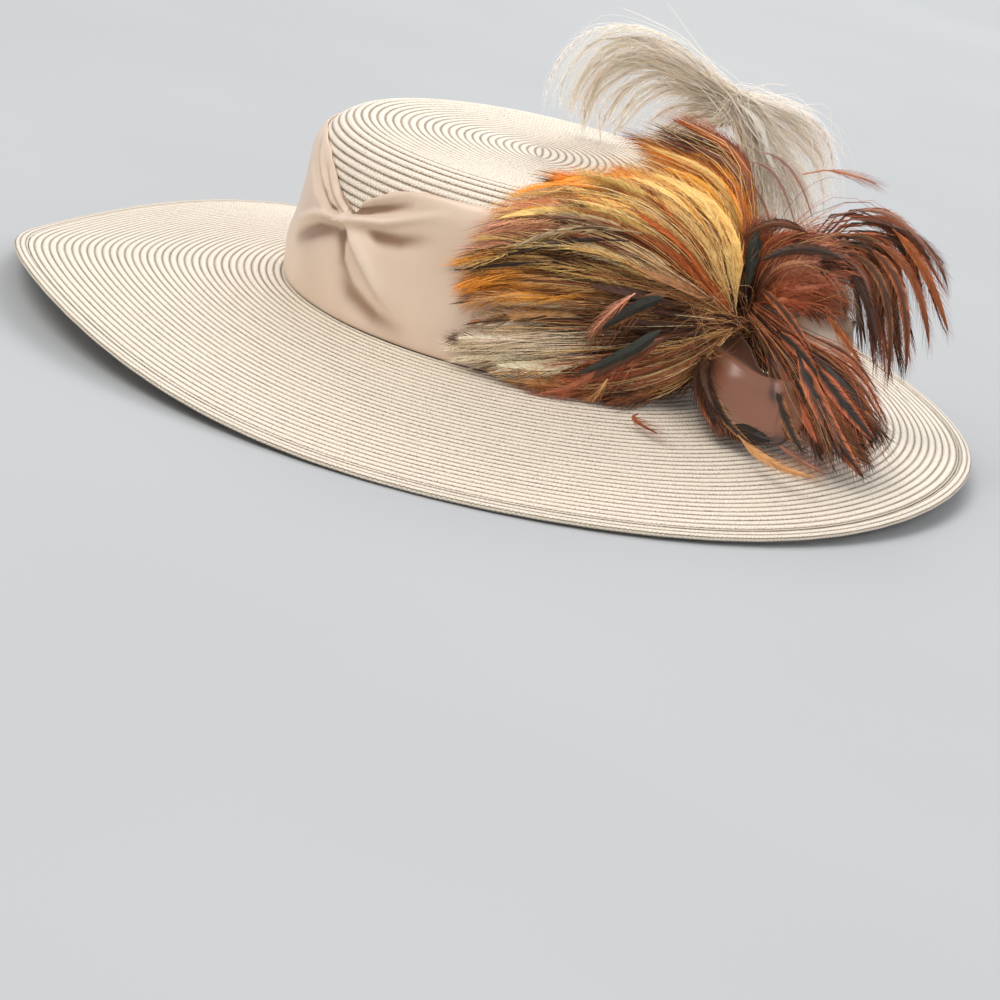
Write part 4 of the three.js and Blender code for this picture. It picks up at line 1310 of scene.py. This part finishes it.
def knot_hair(random):
    """One fine hair that strays out of the knot and sags."""
    direction = unit(random.normal(0, 1, 3) * (1.2, 0.4, 0.7) + (-0.7, -0.7, 0.1))
    start = KNOT_MIDDLE + direction * 4 * MM
    sag = np.array((random.normal(0, 4), 0, random.normal(0, 4))) * MM
    reach = random.uniform(16, 46) * MM
    return bend(start, start + direction * reach * 0.5 + sag, start + direction * reach, 8)


def hair_across(random):
    """One hair that lies over the golden spray."""
    start = from_base(random.normal((92, -48, 27), (2, 2, 3)))
    end = from_base((random.uniform(42, 74), random.uniform(-96, -84), random.uniform(0, 58)))
    top = from_base((random.uniform(72, 84), random.uniform(-84, -74), random.uniform(14, 50)))
    return bend(start, top, start + (end - start) * random.uniform(0.6, 1.0), 12)


def quill_between(random, low, low_spread, high, high_spread, bow):
    """One quill end from about one place to about another, bowed a little."""
    start = from_base(random.normal(low, low_spread))
    end = from_base(random.normal(high, high_spread))
    return bend(start, (start + end) / 2 + random.normal(0, bow * MM, 3), end, 8)


def make_knot():
    """Curls and hairs round the knot, and quill ends above it and inside the copper loop."""
    tuft = Tuft("knot_strands", seed=16)
    random = tuft.random
    curls = [knot_curl(random) for _ in range(240)]
    hairs = [knot_hair(random) for _ in range(120)]
    across, above = [], []
    for _ in range(40):
        across.append(hair_across(random))
        above.append(quill_between(random, (91, -40, 30), (2.0, 2.0, 2.0), (90, -44, 50), (3.5, 2.0, 5.0), 2))
    # The last ten hairs across are left out, so that the copper loop stays clear
    bunches(tuft, across, (16, 0.2, "tan"), (14, 0.2, "brown"))
    bunches(tuft, above, (40, 0.6, "umber"))
    bunches(tuft, curls, (80, 0.5, "umber"), (90, 0.42, "brown"), (70, 0.4, "tan"))
    bunches(tuft, hairs, (50, 0.26, "brown"), (70, 0.26, "tan"))
    inside = [quill_between(random, (97, -42, 22), (2.5, 2.5, 3.0), (106, -66, 10), (4.5, 5.0, 3.0), 3)
              for _ in range(90)]
    bunches(tuft, inside, (55, 0.45, "umber"), (35, 0.4, "brown"))
    tuft.build(VANES, "bound_quills")


def make_heart():
    """The bound heart of the knot: a ball, dented all over."""
    choose_none()
    bpy.ops.mesh.primitive_uv_sphere_add(segments=32, ring_count=20, radius=HEART_RADIUS * MM,
                                         location=KNOT_MIDDLE)
    bpy.ops.object.transform_apply(location=True, rotation=True, scale=True)
    heart = bpy.context.object
    heart.name = "knot_heart"
    random = np.random.default_rng(17)
    for vertex in heart.data.vertices:
        vertex.co += Vector(random.normal(0, HEART_DENTS * MM, 3))
    settle(heart, QUILLS, "bound_quills", "trim_knot")


# Bow loops: a ribbon from a lower edge over a rounded ridge to an inner edge

# Round each loop, in millimetres from the crown's base: its lower edge, its ridge and its inner edge
LOOP = "low ridge inner"
FRONT_LOOP = table(LOOP, [
    ((95, -38, 10), (96, -42, 29), (96, -40, 30)),
    ((83, -58, 6), (84, -55, 21), (90, -46, 27)),
    ((80.5, -78, 2), (83.5, -65, 18.5), (91, -52, 25.5)),
    ((88, -97, -2), (92, -74, 18), (95, -59, 23.5)),
    ((103, -103.5, -2), (102, -76, 15.5), (100, -67, 18)),
    ((117, -96, 2), (112, -73, 16), (107, -66, 16)),
    ((118, -76, 8), (116, -63, 20), (111, -58, 20)),
    ((108, -50, 12), (108, -49, 26), (105, -46, 26)),
])
SIDE_LOOP = table(LOOP, [
    ((95, -36, 15), (96, -37, 33), (97, -35, 34)),
    ((106, -46, 13), (108, -46, 34), (107, -39, 37)),
    ((122, -47, 14), (120, -45, 35), (118, -38, 38)),
    ((133, -41, 17), (131.5, -39, 35), (127, -35, 37.5)),
    ((133, -31, 18), (132.5, -31, 34), (128, -33, 36)),
    ((120, -26, 16), (120, -27, 35), (119, -30, 37)),
    ((104, -28, 14), (104, -29, 34), (104, -32, 36)),
])

# Creases across the loops, by their share of a turn
CREASE = "at depth width"
FRONT_CREASES = table(CREASE, [
    (0.13, -2.0, 0.035),
    (0.34, 1.0, 0.07),
    (0.545, -1.1, 0.018),
    (0.62, 1.0, 0.04),
])
SIDE_CREASES = table(CREASE, [
    (0.10, -1.2, 0.03),
    (0.28, 1.2, 0.05),
    (0.42, -1.0, 0.03),
])


def closed_line(line, at):
    """A smooth closed line through a few places, read at shares of one turn."""
    before, after, fine = 2, 3, 40
    samples = (len(line) + before + after - 1) * fine + 1
    around = flow(np.concatenate([line[-before:], line, line[:after]]), samples)
    start = before * fine
    return columns(around[start:start + len(line) * fine + 1], at)


def ribbon_loop(name, places, swell, creases):
    """A closed loop of ribbon, rolled over its ridge, with soft creases across it."""
    steps, rows, wall = 160, 28, 0.8
    # The ribbon turns over its ridge at this share of its width, and the roll is this wide and high
    turns_over, roll_middle, roll_width, roll_out, roll_up = 0.68, 0.69, 0.075, 1.3, 2.2
    crease_slant, inside_height = 0.03, 8
    ribbon_length, ribbon_width = 150, 32
    piece = grid(name, steps, rows)
    turn, section = shares(piece)
    low, ridge, inner = (np.array([row[key] for row in places], float) for key in LOOP.split())
    bottom, middle, top = (closed_line(line, turn) for line in (low, ridge, inner))
    push = unit((bottom + middle) / 2 - low.mean(axis=0) * (1, 1, 0) - (0, 0, inside_height))
    face = np.clip(section / turns_over, 0, 1)
    back = np.clip((section - turns_over) / (1 - turns_over), 0, 1)[:, None]
    rise = np.sin(np.pi * face ** 0.9) * swell
    for crease in creases:
        away = (turn - crease["at"] + 0.5) % 1 - 0.5 + (section - 0.5) * crease_slant
        fade = np.sin(np.pi * np.clip(section, 0, 1)) ** 0.5
        rise = rise + crease["depth"] * np.exp(-(away / crease["width"]) ** 2) * fade
    face = face[:, None]
    place = bottom * (1 - face) + middle * face
    place = place * (1 - back) + top * back + push * rise[:, None]
    roll = np.exp(-((section[:, None] - roll_middle) / roll_width) ** 2)
    place = place + roll * (push * roll_out + np.array((0, 0, roll_up)))
    shape(piece, from_base(place), "cloth", turn * ribbon_length, section * ribbon_width)
    # Painted shade deepens the hollows and a painted highlight pales the ridge
    level, highest = swell * 0.6, 0.5
    highlight_strength, highlight_at, highlight_width = 2.2, 0.66, 0.07
    painted_highlight = highlight_strength * np.exp(-((section - highlight_at) / highlight_width) ** 2)
    add_fold_attribute(piece, np.minimum(rise - level, highest) + painted_highlight)
    weld(piece)
    apply(piece, "SOLIDIFY", thickness=wall * MM, offset=-1.0)
    return piece


def make_bow():
    """The copper loop in front, and the champagne one behind the hackles."""
    front = ribbon_loop("copper_loop", FRONT_LOOP, swell=3.4, creases=FRONT_CREASES)
    settle(front, COPPER, "copper_satin", "bow_loop_front")
    side = ribbon_loop("champagne_loop", SIDE_LOOP, swell=2.2, creases=SIDE_CREASES)
    settle(side, CHAMPAGNE, "champagne_satin", "bow_loop_side")


make_brim()
make_crown()
make_edge()
make_band()
make_golden()
make_upper()
make_plume()
make_fan()
make_hackles()
make_knot()
make_heart()
make_bow()


# Camera, floor and light

def make_camera():
    """The viewing angle and framing of the hat: a long lens a little above the brim, rolled to the left."""
    focal_pixels, picture_pixels, sensor = 3200.0, 1000.0, 36.0
    # How far back the lens is from the crown's base, and how far the base is right of and above its axis
    depth, aside, above = 1284.223, 1.505, 75.208
    rise, roll = math.radians(16.793), math.radians(13.261)
    back = Vector((0, -math.cos(rise), math.sin(rise)))
    right = Vector((1, 0, 0))
    up = back.cross(right)
    x_axis = math.cos(roll) * right + math.sin(roll) * up
    y_axis = -math.sin(roll) * right + math.cos(roll) * up
    centre = (depth * back - aside * x_axis - above * y_axis) * MM
    centre = centre + Vector((0, 0, CROWN_BASE * MM))
    data = bpy.data.cameras.new("camera")
    data.sensor_width = sensor
    data.lens = sensor * focal_pixels / picture_pixels
    data.clip_end = 20.0
    camera = bpy.data.objects.new("camera", data)
    bpy.context.scene.collection.objects.link(camera)
    turn = Matrix((x_axis, y_axis, back)).transposed().to_4x4()
    camera.matrix_world = Matrix.Translation(centre) @ turn
    bpy.context.scene.camera = camera


def make_floor():
    """The wide surface that the brim rests on."""
    choose_none()
    bpy.ops.mesh.primitive_plane_add(size=12)
    floor = bpy.context.object
    floor.name = "floor"
    floor.data.materials.append(floor_finish())


def make_light(name, place, size, power, colour):
    """A square lamp turned to the middle of the hat."""
    data = bpy.data.lights.new(name, "AREA")
    data.size = size
    data.energy = power
    data.color = colour
    light = bpy.data.objects.new(name, data)
    light.location = place
    light.rotation_euler = (-Vector(place)).to_track_quat("-Z", "Y").to_euler()
    bpy.context.scene.collection.objects.link(light)


def make_world():
    """An even, slightly cool light from all round."""
    sky, brightness = rgb(0.94, 0.96, 1.0), 0.82
    world = bpy.data.worlds.new("studio")
    world.use_nodes = True
    background = world.node_tree.nodes["Background"]
    background.inputs["Color"].default_value = sky
    background.inputs["Strength"].default_value = brightness
    bpy.context.scene.world = world


make_camera()
make_floor()
make_world()
make_light("key", place=(-0.9, -1.0, 2.0), size=1.2, power=29.0, colour=(1.0, 0.965, 0.92))
make_light("fill", place=(1.6, -1.0, 1.2), size=1.6, power=8.0, colour=(0.95, 0.97, 1.0))
make_light("back", place=(0.3, 1.8, 1.6), size=1.2, power=24.0, colour=(1.0, 0.985, 0.96))
bpy.context.scene.view_settings.view_transform = "Standard"
